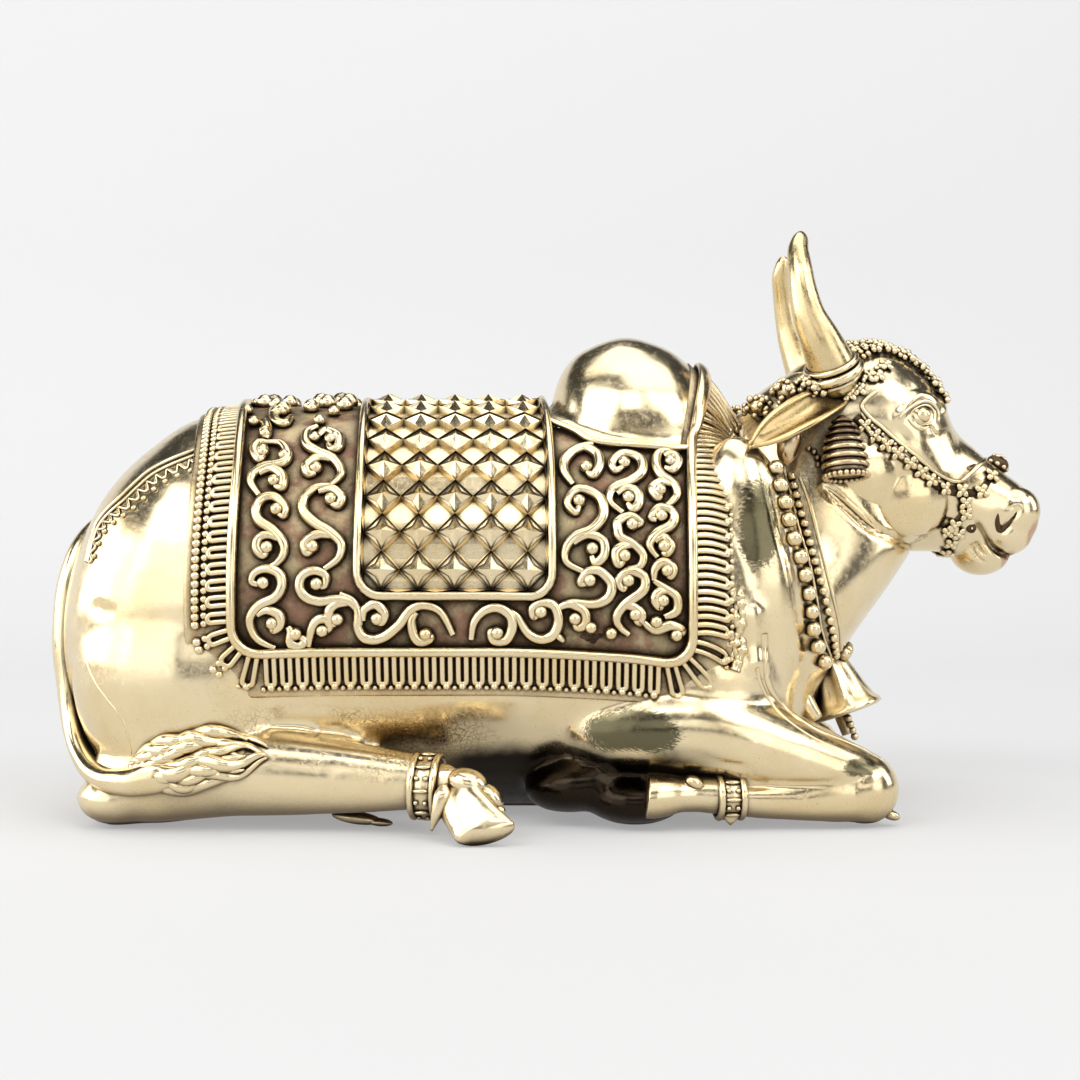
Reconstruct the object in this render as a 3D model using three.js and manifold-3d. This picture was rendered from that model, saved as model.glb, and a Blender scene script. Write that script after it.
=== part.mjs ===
// A resting nandi bull with a fringed saddle cloth, halter, necklaces and bells, cast in one piece of brass.
// Millimetres, +Z up. The head looks along +X. The right side of the bull is on -Y.
import * as THREE from "three";
import { LoftGeometry } from "three/addons/geometries/LoftGeometry.js";
import { mergeVertices } from "three/addons/utils/BufferGeometryUtils.js";
import Module from "manifold-3d";

const wasm = await Module();
wasm.setup();

// Saddle cloth, measured along the barrel (x) and down its side from the spine (s)
const FRAME_REAR = -53.8;
const FRAME_FRONT = 24.2;
const FRAME_DROP = 64;
const CORNER = 5;
const CLOTH_LIFT = 0.8;
const UNDER = 2.5;
const FRINGE_REAR = 6.7;
const FRINGE_FRONT = 5.4;
const FRINGE_FOOT = 6.6;
const FRAME_HALF = 1;
const FRAME_LIFT = 2.4;
const FLUTE_PITCH = 7;
const FLUTE_LIFT = 1.9;
const FLUTE_VALLEY = 1.1;

// Diamond panel over the back
const PANEL_REAR = -31.5;
const PANEL_FRONT = -0.6;
const PANEL_DROP = 52.5;
const PANEL_BORDER = 3.3;
const DIAMOND_COLUMNS = 5;
const DIAMOND_ROWS = 8;
const DIAMOND_S = (PANEL_DROP - PANEL_BORDER) / DIAMOND_ROWS;
const DIAMOND_LIFT = 2.6;
const PANEL_LIFT = 0.9;

// Vines on both sides of the panel
const VINE_LIFT = 2.2;
const BERRY_LIFT = 2.6;

// Necklaces
const BEAD_RADIUS = 1.5;
const SMALL_BEAD_RADIUS = 0.85;

const { PI, abs, cos, exp, floor, hypot, max, min, round, sign, sin } = Math;
const vec = (x, y, z) => new THREE.Vector3(x, y, z);

// Evenly spaced numbers from a to b.
function spread(a, b, count) {
  return Array.from({ length: count }, (_, i) => a + ((b - a) * i) / (count - 1));
}

// Monotone cubic interpolation through rows sorted by their first number; gives the other numbers at t.
function between(rows, t) {
  const last = rows.length - 1;
  let i = 0;
  while (i < last - 1 && t > rows[i + 1][0]) i += 1;
  const width = rows[i + 1][0] - rows[i][0];
  const f = min(1, max(0, (t - rows[i][0]) / width));
  const slope = (k, c) => (rows[k + 1][c] - rows[k][c]) / (rows[k + 1][0] - rows[k][0]);
  const tangent = (k, c) => {
    if (k === 0) return slope(0, c);
    if (k === last) return slope(last - 1, c);
    const before = slope(k - 1, c);
    const after = slope(k, c);
    return before * after <= 0 ? 0 : (2 * before * after) / (before + after);
  };
  return rows[0].slice(1).map((_, n) => {
    const c = n + 1;
    const rise = rows[i + 1][c] - rows[i][c];
    const m0 = tangent(i, c) * width;
    const m1 = tangent(i + 1, c) * width;
    const f2 = f * f;
    const f3 = f2 * f;
    return rows[i][c] + rise * (3 * f2 - 2 * f3) + m0 * (f3 - 2 * f2 + f) + m1 * (f3 - f2);
  });
}

const powered = (value, power) => sign(value) * abs(value) ** (2 / power);

// A closed skin through rings of points, each turned to wind the way its end caps do.
function loft(rings, capStart = true, capEnd = capStart) {
  const middle = (points) => points.reduce((sum, p) => sum.add(p), vec(0, 0, 0)).divideScalar(points.length);
  const centre = middle(rings[0]);
  const along = middle(rings[1]).sub(centre);
  const turn = rings[0].reduce((sum, p, i, ring) => {
    const next = ring[(i + 1) % ring.length];
    return sum.add(p.clone().sub(centre).cross(next.clone().sub(centre)));
  }, vec(0, 0, 0));
  const wound = turn.dot(along) > 0 ? rings : rings.map((ring) => [...ring].reverse());
  return new LoftGeometry(wound, { capStart, capEnd });
}

// A rounded form lying along one axis. A station is [place, low end, widest place, high end, half width].
// Along x the ends are bottom and top and angle 0 is the top; along z they are rear and front, angle 0 the front.
class Form {
  constructor(axis, stations, power = 2) {
    this.axis = axis;
    this.stations = stations;
    this.power = power;
  }

  raw(t, angle) {
    const [low, wide, high, half] = between(this.stations, t);
    const c = cos(angle);
    const along = wide + (c > 0 ? high - wide : wide - low) * powered(c, this.power);
    const across = half * powered(sin(angle), this.power);
    return this.axis === "x" ? vec(t, across, along) : vec(along, across, t);
  }

  // The point on the skin, lifted off it along its normal.
  point(t, angle, lift = 0) {
    const p = this.raw(t, angle);
    if (!lift) return p;
    const along = this.raw(t + 0.2, angle).sub(this.raw(t - 0.2, angle));
    const around = this.raw(t, angle + 0.02).sub(this.raw(t, angle - 0.02));
    const normal = along.cross(around).normalize();
    const [, wide] = between(this.stations, t);
    const centre = this.axis === "x" ? vec(t, 0, wide) : vec(wide, 0, t);
    if (normal.dot(p.clone().sub(centre)) < 0) normal.negate();
    return p.addScaledVector(normal, lift);
  }

  geometry(places, around) {
    const ring = (t) => spread(0, 2 * PI, around + 1).slice(0, -1).map((a) => this.point(t, a));
    return loft(places.map(ring));
  }
}

// A limb through stations [x, y, z, half width across, half height], smoothed between them.
function limb(stations, rows, around, side = 1, power = 2) {
  const centres = new THREE.CatmullRomCurve3(stations.map(([x, y, z]) => vec(x, y * side, z)));
  const sizes = stations.map(([, , , w, h], i) => [i / (stations.length - 1), w, h]);
  const rings = spread(0, 1, rows).map((t) => {
    const p = centres.getPoint(t);
    const along = centres.getTangent(t);
    const across = vec(0, 1, 0).addScaledVector(along, -along.y).normalize();
    const up = along.clone().cross(across).normalize();
    const [w, h] = between(sizes, t);
    return spread(0, 2 * PI, around + 1).slice(0, -1).map((a) =>
      p.clone().addScaledVector(across, w * powered(cos(a), power)).addScaledVector(up, h * powered(sin(a), power)));
  });
  return loft(rings);
}

// A tube along points with a radius for each of them; "around" sets how many sides it has.
function tube(points, radii, around, closed = false) {
  const rings = points.map((p, i) => {
    const before = points[closed ? (i + points.length - 1) % points.length : max(0, i - 1)];
    const after = points[closed ? (i + 1) % points.length : min(points.length - 1, i + 1)];
    const along = after.clone().sub(before).normalize();
    const aside = abs(along.y) < 0.85 ? vec(0, 1, 0) : vec(0, 0, 1);
    const across = aside.addScaledVector(along, -along.dot(aside)).normalize();
    const up = along.clone().cross(across);
    return spread(0, 2 * PI, around + 1).slice(0, -1).map((a) =>
      p.clone().addScaledVector(across, radii[i] * cos(a)).addScaledVector(up, radii[i] * sin(a)));
  });
  if (closed) rings.push(rings[0]);
  return loft(rings, !closed);
}

// A string of beads along a path: the tube swells at each bead and narrows between them.
function beads(path, count, radius, around = 6) {
  const places = spread(0, 1, 2 * count + 1);
  return tube(places.map(path), places.map((_, i) => (i % 2 ? radius : radius * 0.45)), around);
}

// One closed solid from a geometry, turned face out.
function solid(geometry) {
  const bare = new THREE.BufferGeometry().setIndex(geometry.index);
  bare.setAttribute("position", geometry.getAttribute("position"));
  const merged = mergeVertices(bare, 1e-4);
  const corners = merged.attributes.position.array;
  const faces = merged.index.array;
  const kept = [];
  for (let i = 0; i < faces.length; i += 3) {
    const [a, b, c] = faces.slice(i, i + 3);
    if (a !== b && b !== c && c !== a) kept.push(a, b, c);
  }
  const corner = (k) => new THREE.Vector3().fromArray(corners, 3 * k);
  let volume = 0;
  for (let i = 0; i < kept.length; i += 3)
    volume += corner(kept[i]).dot(corner(kept[i + 1]).cross(corner(kept[i + 2])));
  if (volume < 0)
    for (let i = 0; i < kept.length; i += 3) [kept[i + 1], kept[i + 2]] = [kept[i + 2], kept[i + 1]];
  return new wasm.Manifold(
    new wasm.Mesh({ numProp: 3, vertProperties: corners, triVerts: new Uint32Array(kept) }),
  );
}

const pieces = [];
const add = (geometry) => pieces.push(solid(geometry));
const addPair = (build) => [-1, 1].forEach((side) => add(build(side)));

// An ellipsoid, turned about the axis across the bull.
function egg([x, y, z], [a, b, c], pitch = 0, around = 8, rows = 6) {
  return new THREE.SphereGeometry(1, around, rows)
    .rotateX(PI / 2)
    .scale(a, b, c)
    .rotateY(-pitch)
    .translate(x, y, z);
}

// Barrel of the body, rump to brisket
const barrel = new Form("x", [
  [-90.4, 27, 32, 37, 4],
  [-89.2, 20, 32.5, 45, 13.5],
  [-86.4, 12.5, 33.5, 53, 20.5],
  [-81.6, 5, 35, 61.4, 26.5],
  [-75, 1, 37, 67.8, 31],
  [-66, -0.8, 38.5, 73.4, 33.6],
  [-55, -0.8, 39.5, 75, 34.6],
  [-35, -0.8, 40.3, 75.2, 35],
  [-10, -0.8, 40.3, 75.2, 35],
  [10, -0.8, 40, 74.6, 34.6],
  [25, -0.8, 39, 73.6, 33.2],
  [34, 1, 37, 69.5, 30],
  [42, 3.5, 34, 60, 24],
  [48, 6.5, 30, 49, 16],
  [51, 12, 26, 38, 5],
]);
add(barrel.geometry([-90.4, -89, -85.8, -80, -71, -60, -30, 10, 30, 40, 47, 51], 16));

// Hump behind the neck
const hump = new Form("x", [
  [0.8, 58, 64, 77, 8],
  [2.2, 56, 65, 81.5, 13],
  [6, 55, 66, 86, 17.5],
  [14.8, 54, 66, 88.9, 20],
  [22, 54, 66, 87, 19.5],
  [28, 54, 65, 82.5, 17],
  [32, 54, 63, 78, 14],
  [36, 54, 60, 72, 10],
]);
add(hump.geometry([0.8, 2.4, 6.5, 14, 21, 27.5, 32, 36], 14));

// The cloth hangs over the barrel and rises over the front slope of the hump.
const HUMP_RISE = [[-4, 0], [0, 1], [5, 6.5], [14, 10], [21, 10], [25, 9], [28.5, 6.8], [31.5, 3], [35, 0]];
const SPINE_WIDTH = 10.5;
const STEP = PI / 60;

function draped(x, angle) {
  const p = barrel.raw(x, angle);
  const [rise] = x > -4 && x < 35 ? between(HUMP_RISE, x) : [0];
  if (cos(angle) > 0) p.z += rise * exp(-((p.y / SPINE_WIDTH) ** 2));
  return p;
}

// The angle round the barrel at a distance s down from the spine, found by walking along the section.
function angleAt(x, s) {
  let angle = 0;
  let walked = 0;
  let last = barrel.raw(x, 0);
  while (walked < abs(s)) {
    const next = barrel.raw(x, angle + STEP);
    const stride = next.distanceTo(last);
    if (walked + stride >= abs(s)) return sign(s) * (angle + (STEP * (abs(s) - walked)) / stride);
    walked += stride;
    angle += STEP;
    last = next;
  }
  return sign(s) * angle;
}

// A point of the cloth at x and s, lifted off the barrel.
function cloth(x, s, lift) {
  const angle = angleAt(x, s);
  const p = draped(x, angle);
  const along = draped(x + 0.2, angle).sub(draped(x - 0.2, angle));
  const around = draped(x, angle + 0.02).sub(draped(x, angle - 0.02));
  const normal = along.cross(around).normalize();
  if (normal.dot(p.clone().sub(vec(x, 0, 40))) < 0) normal.negate();
  return p.addScaledVector(normal, lift);
}

// The frame is a rounded rectangle in x and s. Walked once round, each place has the way out of the cloth there.
function framePlaces(pitch) {
  const [middle, half] = [(FRAME_FRONT + FRAME_REAR) / 2, (FRAME_FRONT - FRAME_REAR) / 2 - CORNER];
  const drop = FRAME_DROP - CORNER;
  const corners = [[1, 1], [-1, 1], [-1, -1], [1, -1]].map(([a, b]) => [middle + a * half, b * drop]);
  return corners.flatMap(([x, s], k) => {
    const turn = spread(0, PI / 2, 5).map((t) => {
      const way = [cos(t + (k * PI) / 2), sin(t + (k * PI) / 2)];
      return { x: x + CORNER * way[0], s: s + CORNER * way[1], way };
    });
    const from = turn[4];
    const [toX, toS] = corners[(k + 1) % 4];
    const to = { x: toX + CORNER * from.way[0], s: toS + CORNER * from.way[1] };
    const count = 2 * round(hypot(to.x - from.x, to.s - from.s) / pitch);
    const side = spread(0, 1, count + 1).slice(1, -1).map((f) => (
      { x: from.x + (to.x - from.x) * f, s: from.s + (to.s - from.s) * f, way: from.way }));
    return [...turn, ...side];
  });
}

// Fluted fringe between the frame and the edge; every second line is a valley, and the flutes end in scallops.
const fringe = framePlaces(FLUTE_PITCH).map(({ x, s, way }, i) => {
  const crest = i % 2 === 0;
  const lift = crest ? FLUTE_LIFT : FLUTE_VALLEY;
  const reach = crest ? 1 : 0.88;
  const endX = x + way[0] * reach * (way[0] > 0 ? FRINGE_FRONT : FRINGE_REAR);
  const endS = s + way[1] * reach * FRINGE_FOOT;
  return [cloth(x, s, lift), cloth(endX, endS, lift), cloth(endX, endS, -UNDER), cloth(x, s, -UNDER)];
});
add(loft([...fringe, fringe[0]], false));

// The field inside the fringe is one skin over crossing lines: rows down both sides, columns along the barrel.
// Its columns carry the rolled frame, two vines, the framed diamond panel and three more vines.
const HALF_DIAMOND = DIAMOND_S / 2;
const lower = [PANEL_DROP + 1.3, PANEL_DROP + 2.5, PANEL_DROP + 6.2, FRAME_DROP - 1.1, FRAME_DROP, FRAME_DROP + 1];
const panelRows = spread(-2 * DIAMOND_ROWS - 1, 2 * DIAMOND_ROWS + 1, 4 * DIAMOND_ROWS + 3).map((j) => j * HALF_DIAMOND);
const ROWS = [...[...lower].reverse().map((s) => -s), ...panelRows, ...lower];

const plain = (x, lift) => () => [x, lift];
// A vine is one crest line that swings two bends a diamond, thicker in each bend; valleys run between the vines.
const vine = (x, swing) => (s, j) => [x + (floor(j / 2) % 2 ? swing : -swing), VINE_LIFT + (j % 2) * 0.5];
const valley = (x, swing) => (s, j) => [x + (floor(j / 2) % 2 ? swing : -swing), j % 2 ? CLOTH_LIFT : 0.5];
const panelColumns = spread(0, 2 * DIAMOND_COLUMNS, 2 * DIAMOND_COLUMNS + 1).map((i) => (s) => {
  const x = PANEL_REAR + (i * (PANEL_FRONT - PANEL_REAR)) / (2 * DIAMOND_COLUMNS);
  if (abs(s) > PANEL_DROP + 6) return [x, i % 2 ? BERRY_LIFT : CLOTH_LIFT];
  if (abs(s) > PANEL_DROP + 2) return [x, CLOTH_LIFT];
  if (abs(s) > PANEL_DROP + 1) return [x, FRAME_LIFT];
  return [x, i % 2 && round(s / HALF_DIAMOND) % 2 === 0 ? DIAMOND_LIFT : PANEL_LIFT];
});
const panelSide = (x) => (s) => [x, abs(s) > PANEL_DROP + 2 ? CLOTH_LIFT : FRAME_LIFT];
const COLUMNS = [
  plain(FRAME_REAR - 1, PANEL_LIFT),
  plain(FRAME_REAR, FRAME_LIFT),
  plain(FRAME_REAR + 1.1, CLOTH_LIFT),
  vine(-47.6, 1.9),
  valley(-42.6, 0),
  vine(-37.7, -1.9),
  plain(PANEL_REAR - 2, CLOTH_LIFT),
  panelSide(PANEL_REAR - 1),
  ...panelColumns,
  panelSide(PANEL_FRONT + 1),
  plain(PANEL_FRONT + 2, CLOTH_LIFT),
  vine(5.6, 1.3),
  valley(9.3, 1.3),
  vine(12.9, 1.3),
  valley(16.3, 1.3),
  vine(19.6, 1.3),
  plain(FRAME_FRONT - 1.1, CLOTH_LIFT),
  plain(FRAME_FRONT, FRAME_LIFT),
  plain(FRAME_FRONT + 1, PANEL_LIFT),
];
const framed = (s, lift) => (abs(s) === FRAME_DROP ? FRAME_LIFT : abs(s) > FRAME_DROP - 1.5 ? CLOTH_LIFT : lift);
const peaks = [];
const field = loft(COLUMNS.map((column) => {
  const top = ROWS.map((s, j) => {
    const [x, lift] = column(s, j);
    const point = cloth(x, s, framed(s, lift));
    if (lift === DIAMOND_LIFT) peaks.push(point);
    return point;
  });
  const [x] = column(0, 0);
  return [...top, ...spread(FRAME_DROP, -FRAME_DROP, 13).map((s) => cloth(x, s, -UNDER))];
}));
// Squares of the diamond panel are split along the foot of their pyramid.
const places = field.getAttribute("position");
const isPeak = (k) => peaks.some((p) => p.distanceTo(vec(places.getX(k), places.getY(k), places.getZ(k))) < 0.01);
const splits = field.index.array;
for (let q = 0; q + 6 <= splits.length; q += 6) {
  const [a, b, d, again, c] = splits.slice(q, q + 5);
  if (again === b && (isPeak(b) || isPeak(d))) splits.set([a, b, c, a, c, d], q);
}
add(field);

// Rolled edge along the foot of the hump
const HUMP_FOOT = [[23, 24], [8, 22.5], [0.5, 17], [-1, 9]];
const humpEdge = [...HUMP_FOOT, ...HUMP_FOOT.map(([x, s]) => [x, -s]).reverse()];
add(loft(humpEdge.map(([x, s], i) => {
  const [ax, as] = humpEdge[max(0, i - 1)];
  const [bx, bs] = humpEdge[min(humpEdge.length - 1, i + 1)];
  const length = hypot(bx - ax, bs - as);
  const nx = (-(bs - as) / length) * FRAME_HALF;
  const ns = ((bx - ax) / length) * FRAME_HALF;
  return [cloth(x + nx, s + ns, 0), cloth(x, s, FRAME_LIFT), cloth(x - nx, s - ns, 0)];
})));

// Neck and chest, from the brisket up to the poll
const neck = new Form("z", [
  [3, 20, 34, 46, 14],
  [12, 16, 35, 49.5, 20],
  [22, 16, 36, 51.5, 23.5],
  [29, 17, 37.5, 56, 24],
  [36, 19, 40, 61, 23],
  [43, 22, 43, 66.2, 21],
  [50, 25, 46, 70, 18],
  [58, 29, 48, 68, 16],
  [66, 32.5, 50, 66, 14],
  [73, 35.5, 51, 65, 12.5],
  [78, 40, 52, 64, 11.5],
  [82, 46, 54, 63, 10],
]);
add(neck.geometry([3, 13, 23, 30, 37, 48, 62, 76, 82], 12));

// Head, poll to nose
const head = new Form("x", [
  [46, 66, 75, 82, 9],
  [50, 58, 74, 84.8, 12.5],
  [56, 52, 73, 86.4, 14.4],
  [62, 49, 72, 87.2, 14.6],
  [67, 48, 70, 85.6, 14],
  [71, 47.8, 67, 82.8, 12.4],
  [74.5, 47.8, 62, 78.6, 10.6],
  [77.5, 46.4, 59, 71.8, 9.4],
  [81.5, 43.8, 56.5, 68, 8.6],
  [85.5, 43, 54.5, 64.6, 8.4],
  [89.5, 45.2, 54, 61.8, 8.2],
  [92.2, 48.4, 54.4, 59.4, 6.8],
  [93.9, 52, 54.8, 57.2, 3],
]);
add(head.geometry([46, 50, 56, 63, 69, 73.5, 76.5, 81, 86, 90.4, 93.9], 12));
add(egg([86.2, 0, 55.2], [6.1, 9, 5.2], -0.25, 10, 6));
addPair((side) => egg([66.5, side * 6.8, 58.6], [9.6, 6.8, 9.4], 0.2));

// Eyes with their brows, and nostrils
addPair((side) => egg([69.4, side * 12, 73], [2, 1.9, 1.6], 0.1, 6, 4));
addPair((side) => {
  const path = spread(0, 1, 4).map((f) => head.point(64.6 + 8.6 * f, side * (0.98 - 0.33 * sin(PI * f)), 0.35));
  return tube(path, [0.5, 1.1, 1.1, 0.5], 4);
});

// Horns: collared at the root, bowed outwards and closing in at the tip
const HORN = [
  [53, 11, 78.4, 4.4],
  [52.4, 13, 81, 4.9],
  [51.3, 13.9, 83.4, 4.8],
  [50.9, 14.1, 84.1, 4.1],
  [49.6, 14.8, 86.6, 3.8],
  [47.2, 15.2, 92, 2.9],
  [46.2, 14.4, 98, 2.2],
  [46, 12.4, 103, 2],
  [46.9, 10.2, 106.9, 1],
];
const LEFT_HORN_FORWARD = 2.2;
const LEFT_HORN_SHORTER = 0.7;
addPair((side) => {
  const root = HORN[0][2];
  const path = HORN.map(([x, y, z]) => {
    const rise = (z - root) / (HORN[8][2] - root);
    if (side < 0) return vec(x, -y, z);
    return vec(x + LEFT_HORN_FORWARD * sin(PI * rise), y, z - LEFT_HORN_SHORTER * rise);
  });
  return tube(path, HORN.map((row) => row[3]), 8);
});

// Ears: a leaf that points back, hollowed along its upper side
const EAR_DISH = 1.5;
addPair((side) => {
  const stations = [[0, 2, 1.6], [0.25, 3.2, 1.6], [0.55, 3.4, 1.5], [0.8, 2.4, 1.2], [1, 0.3, 0.4]];
  const root = vec(53, side * 13.5, 76.6);
  const tip = vec(35.2, side * 26, 66.6);
  const along = tip.clone().sub(root).normalize();
  const face = vec(0.3, side * 0.55, 0.78);
  face.addScaledVector(along, -face.dot(along)).normalize();
  const across = along.clone().cross(face);
  const rings = spread(0, 1, 5).map((t) => {
    const [half, thick] = between(stations, t);
    const middle = root.clone().lerp(tip, t);
    const at = (u, v) => middle.clone().addScaledVector(across, half * u).addScaledVector(face, v);
    const dish = EAR_DISH * sin(PI * t);
    return [at(1, 0.3), at(0.45, thick - dish), at(-0.45, thick - dish), at(-1, 0.3), at(-0.6, -thick), at(0.6, -thick)];
  });
  return loft(rings);
});

// Ribbed bells that hang under the ears
addPair((side) => {
  const top = vec(55, side * 15, 73.5);
  const foot = vec(53.4, side * 17.5, 61.5);
  const radii = [2.4, 4.4, 3.6, 5, 2.5];
  return tube(radii.map((_, i) => top.clone().lerp(foot, i / (radii.length - 1))), radii, 6);
});

// Halter: a cheek band from the horn to the nose, a band round the nose and a strap under the jaw
const onHead = (rows, lift) => (f) => {
  const [x, angle] = between(rows, f);
  return head.point(x, angle, lift);
};
addPair((side) => {
  const path = onHead(
    [[0, 54.5, side * 1.48], [0.27, 60, side * 1.63], [0.5, 64.8, side * 1.74], [0.75, 70, side * 1.79], [1, 75, side * 1.72]],
    0.6,
  );
  return beads(path, 4, 1.6, 4);
});
add(beads(onHead([[0, 75.2, -1.72], [0.25, 79.4, -1], [0.5, 83.5, 0], [0.75, 79.4, 1], [1, 75.2, 1.72]], 0.4), 4, 1.4, 4));
add(egg([86.8, 0, 64.9], [2.2, 2.3, 1.6], -0.5, 6, 4));
addPair((side) => beads(onHead([[0, 75, side * 1.75], [0.5, 74.4, side * 2.3], [1, 73.8, side * 2.9]], 0.3), 1, 1.4, 4));

// Garland over the forehead
addPair((side) => {
  const path = onHead([[0, 55, side * 0.85], [0.4, 62, side * 0.45], [0.75, 70, side * 0.5], [1, 74.6, side * 0.95]], 0.1);
  return beads(path, 3, 1.5, 4);
});

// Necklaces: both run from the crest of the neck down to the chest
const onNeck = (rows, lift) => (f) => {
  const [z, angle] = between(rows, f);
  return neck.point(z, angle, lift);
};
const NECKLACE = [
  [0, 71.5, 2.85],
  [0.12, 67.5, 2.35],
  [0.25, 62, 1.98],
  [0.42, 53.5, 1.75],
  [0.58, 46, 1.58],
  [0.72, 38.5, 1.4],
  [0.86, 31, 1.1],
  [1, 26.5, 0.4],
];
const closer = NECKLACE.map(([f, z, angle]) => [f, z + 0.6, max(0.05, angle - 0.22)]);
addPair((side) => beads(onNeck(NECKLACE.map(([f, z, a]) => [f, z, side * a]), 0.7), 11, BEAD_RADIUS, 4));
addPair((side) => {
  const path = spread(0, 1, 8).map(onNeck(closer.map(([f, z, a]) => [f, z, side * a]), 0.4));
  return tube(path, path.map((_, i) => SMALL_BEAD_RADIUS * (i % 2 ? 1.2 : 0.9)), 3);
});

// Chest bell on the necklace: waisted top, flared rim, open mouth
const BELL_X = 54.4;
const BELL_Y = -4;
const BELL_TILT = 0.3;
const BELL_PROFILE = [
  [0, 27.5],
  [2.2, 27.2],
  [3.4, 24.6],
  [4, 21.5],
  [5, 18.6],
  [6.3, 16.4],
  [5.2, 16.2],
  [3, 18.5],
  [0, 19.5],
].map(([r, z]) => new THREE.Vector2(r, z));
const bell = new THREE.LatheGeometry(BELL_PROFILE, 9).rotateX(PI / 2);
add(bell.translate(0, 0, -28).rotateY(-BELL_TILT).translate(BELL_X - 2.4, BELL_Y, 28.4));
add(egg([BELL_X, BELL_Y, 19], [1.8, 1.8, 4.6], 0, 6, 4));
add(egg([BELL_X - 3, BELL_Y, 28.6], [3.4, 3.4, 2.2], 0, 6, 4));

// Hind legs: thigh, shank along the ground, hock, anklet, pastern and hoof
addPair((side) => egg([-63, side * 17, 26], [23, 18, 25], 0.1, 11, 7));
addPair((side) => limb([
  [-78, 24, 8, 5, 4.6],
  [-66, 26, 9.6, 7.6, 8],
  [-52, 28, 9.6, 7, 7.8],
  [-36, 30.6, 9, 5.2, 6.4],
  [-19, 33.6, 8.6, 4, 4.4],
], 5, 8, side));
addPair((side) => egg([-76, side * 24.6, 6.6], [6, 5.6, 5.6], 0, 8, 5));
addPair((side) => tube([[-24, 32.8, 8.4], [-22.6, 33, 8.4], [-18.8, 33.8, 8.2], [-17.4, 34, 8.2]]
  .map(([x, y, z]) => vec(x, y * side, z)), [4.2, 5.8, 5.8, 4.2], 6));
addPair((side) => limb([
  [-20, 33.6, 8, 4.2, 4.4],
  [-14, 36, 8.6, 4.2, 4.6],
  [-10.6, 38.4, 6, 4.2, 4],
], 3, 7, side));
addPair((side) => limb([
  [-17, 37, 6.6, 4.6, 3.6],
  [-13.2, 39.4, 4.6, 5.2, 4.4],
  [-7.8, 42, 1.6, 4.6, 3.2],
  [-6.3, 42.6, 0.4, 3, 1.6],
], 4, 7, side));

// Forelegs: forearm along the ground, knee in front, cannon folded back under it
addPair((side) => egg([26, side * 19, 26], [17, 13, 20], 0.5, 10, 7));
addPair((side) => limb([
  [2.4, 21, 15, 5, 5],
  [12, 23.6, 14, 9, 8],
  [27, 25.4, 14.6, 9.2, 10.6],
  [42, 25.6, 11, 8, 8.4],
  [54, 25.2, 7.8, 6.4, 6.6],
  [59.4, 24.8, 6.8, 4.4, 4.6],
], 6, 8, side));
addPair((side) => limb([
  [58, 24.6, 4.8, 5, 4.6],
  [42, 26, 4.6, 4.4, 4.2],
  [22, 28.6, 6, 3.8, 4],
], 3, 7, side));
addPair((side) => tube([[35.2, 27, 4.8], [34, 27.2, 4.8], [30.6, 27.6, 5], [29.4, 27.8, 5]]
  .map(([x, y, z]) => vec(x, y * side, z)), [4, 5, 5, 4], 6));
addPair((side) => limb([
  [25, 28.4, 6, 4.4, 4.2],
  [20.5, 28.8, 5.4, 4.8, 4.8],
  [16.6, 29.2, 4.8, 4.4, 4.2],
], 3, 7, side));

// Tail: down the rear edge, round the hock, ending in a tuft of wavy locks
add(limb([
  [-83, 0, 58.6, 2.4, 2],
  [-89.2, -1, 48, 2.8, 2],
  [-91.6, -2, 36, 3, 2],
  [-91.4, -4, 25, 3, 2],
  [-88.4, -8, 14, 3, 2.2],
  [-82.6, -16, 6.8, 3, 2.6],
  [-76, -24, 6, 3, 2.8],
  [-69, -31.6, 7.4, 2.6, 2.6],
], 9, 6));
const TUFT = [
  [0, -66, 14.5, 4.5],
  [1, -64, 11.5, 5.5],
  [2, -63, 8.4, 4.6],
  [3, -66, 5.6, 2.8],
];
for (const [lock, x, z, reach] of TUFT) {
  const path = spread(0, 1, 4).map((f) =>
    vec(-72 + (x + 72 + reach * 2.6) * f, -32.2 - 2.4 * sin(PI * f), 7 + (z - 7) * f + 0.7 * sin(2 * PI * f + lock)));
  add(tube(path, [1.6, 2.1, 1.6, 0.3], 5));
}

// Beaded cord round the rump
addPair((side) => {
  const path = (f) => barrel.point(-62 - 26 * f, side * (0.62 + 0.26 * sin(PI * f)), 0.3);
  return beads(path, 3, 1.2, 4);
});

// Joined in one body, with its feet cut flat on the ground
const ground = new THREE.BoxGeometry(300, 200, 40).translate(0, 0, -20);
const joined = pieces.reduce((whole, piece) => whole.add(piece));
const body = joined.subtract(solid(ground));
const mesh = body.getMesh();
const geometry = new THREE.BufferGeometry()
  .setAttribute("position", new THREE.BufferAttribute(mesh.vertProperties, 3))
  .setIndex(new THREE.BufferAttribute(mesh.triVerts, 1));
geometry.computeBoundingBox();
const box = geometry.boundingBox;
geometry.translate(-(box.min.x + box.max.x) / 2, -(box.min.y + box.max.y) / 2, -box.min.z);
geometry.computeVertexNormals();

const brass = new THREE.MeshStandardMaterial({ color: 0xc9a877, roughness: 0.28, metalness: 1 });
const bull = new THREE.Mesh(geometry, brass);
bull.name = "nandi_bull";

const group = new THREE.Group();
group.name = "nandi";
group.add(bull);

export default group;
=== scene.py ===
"""A resting nandi bull in polished brass: its looks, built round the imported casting.

Shapes are worked out in millimetres in the frame of the casting and set down in metres at the end.
The bull looks along +X and its right side, on -Y, faces the camera.
"""
from math import atan2, cos, hypot, pi, radians, sin

import bmesh
import bpy
import numpy as np
from mathutils import Matrix, Vector
from mathutils.bvhtree import BVHTree


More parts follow.
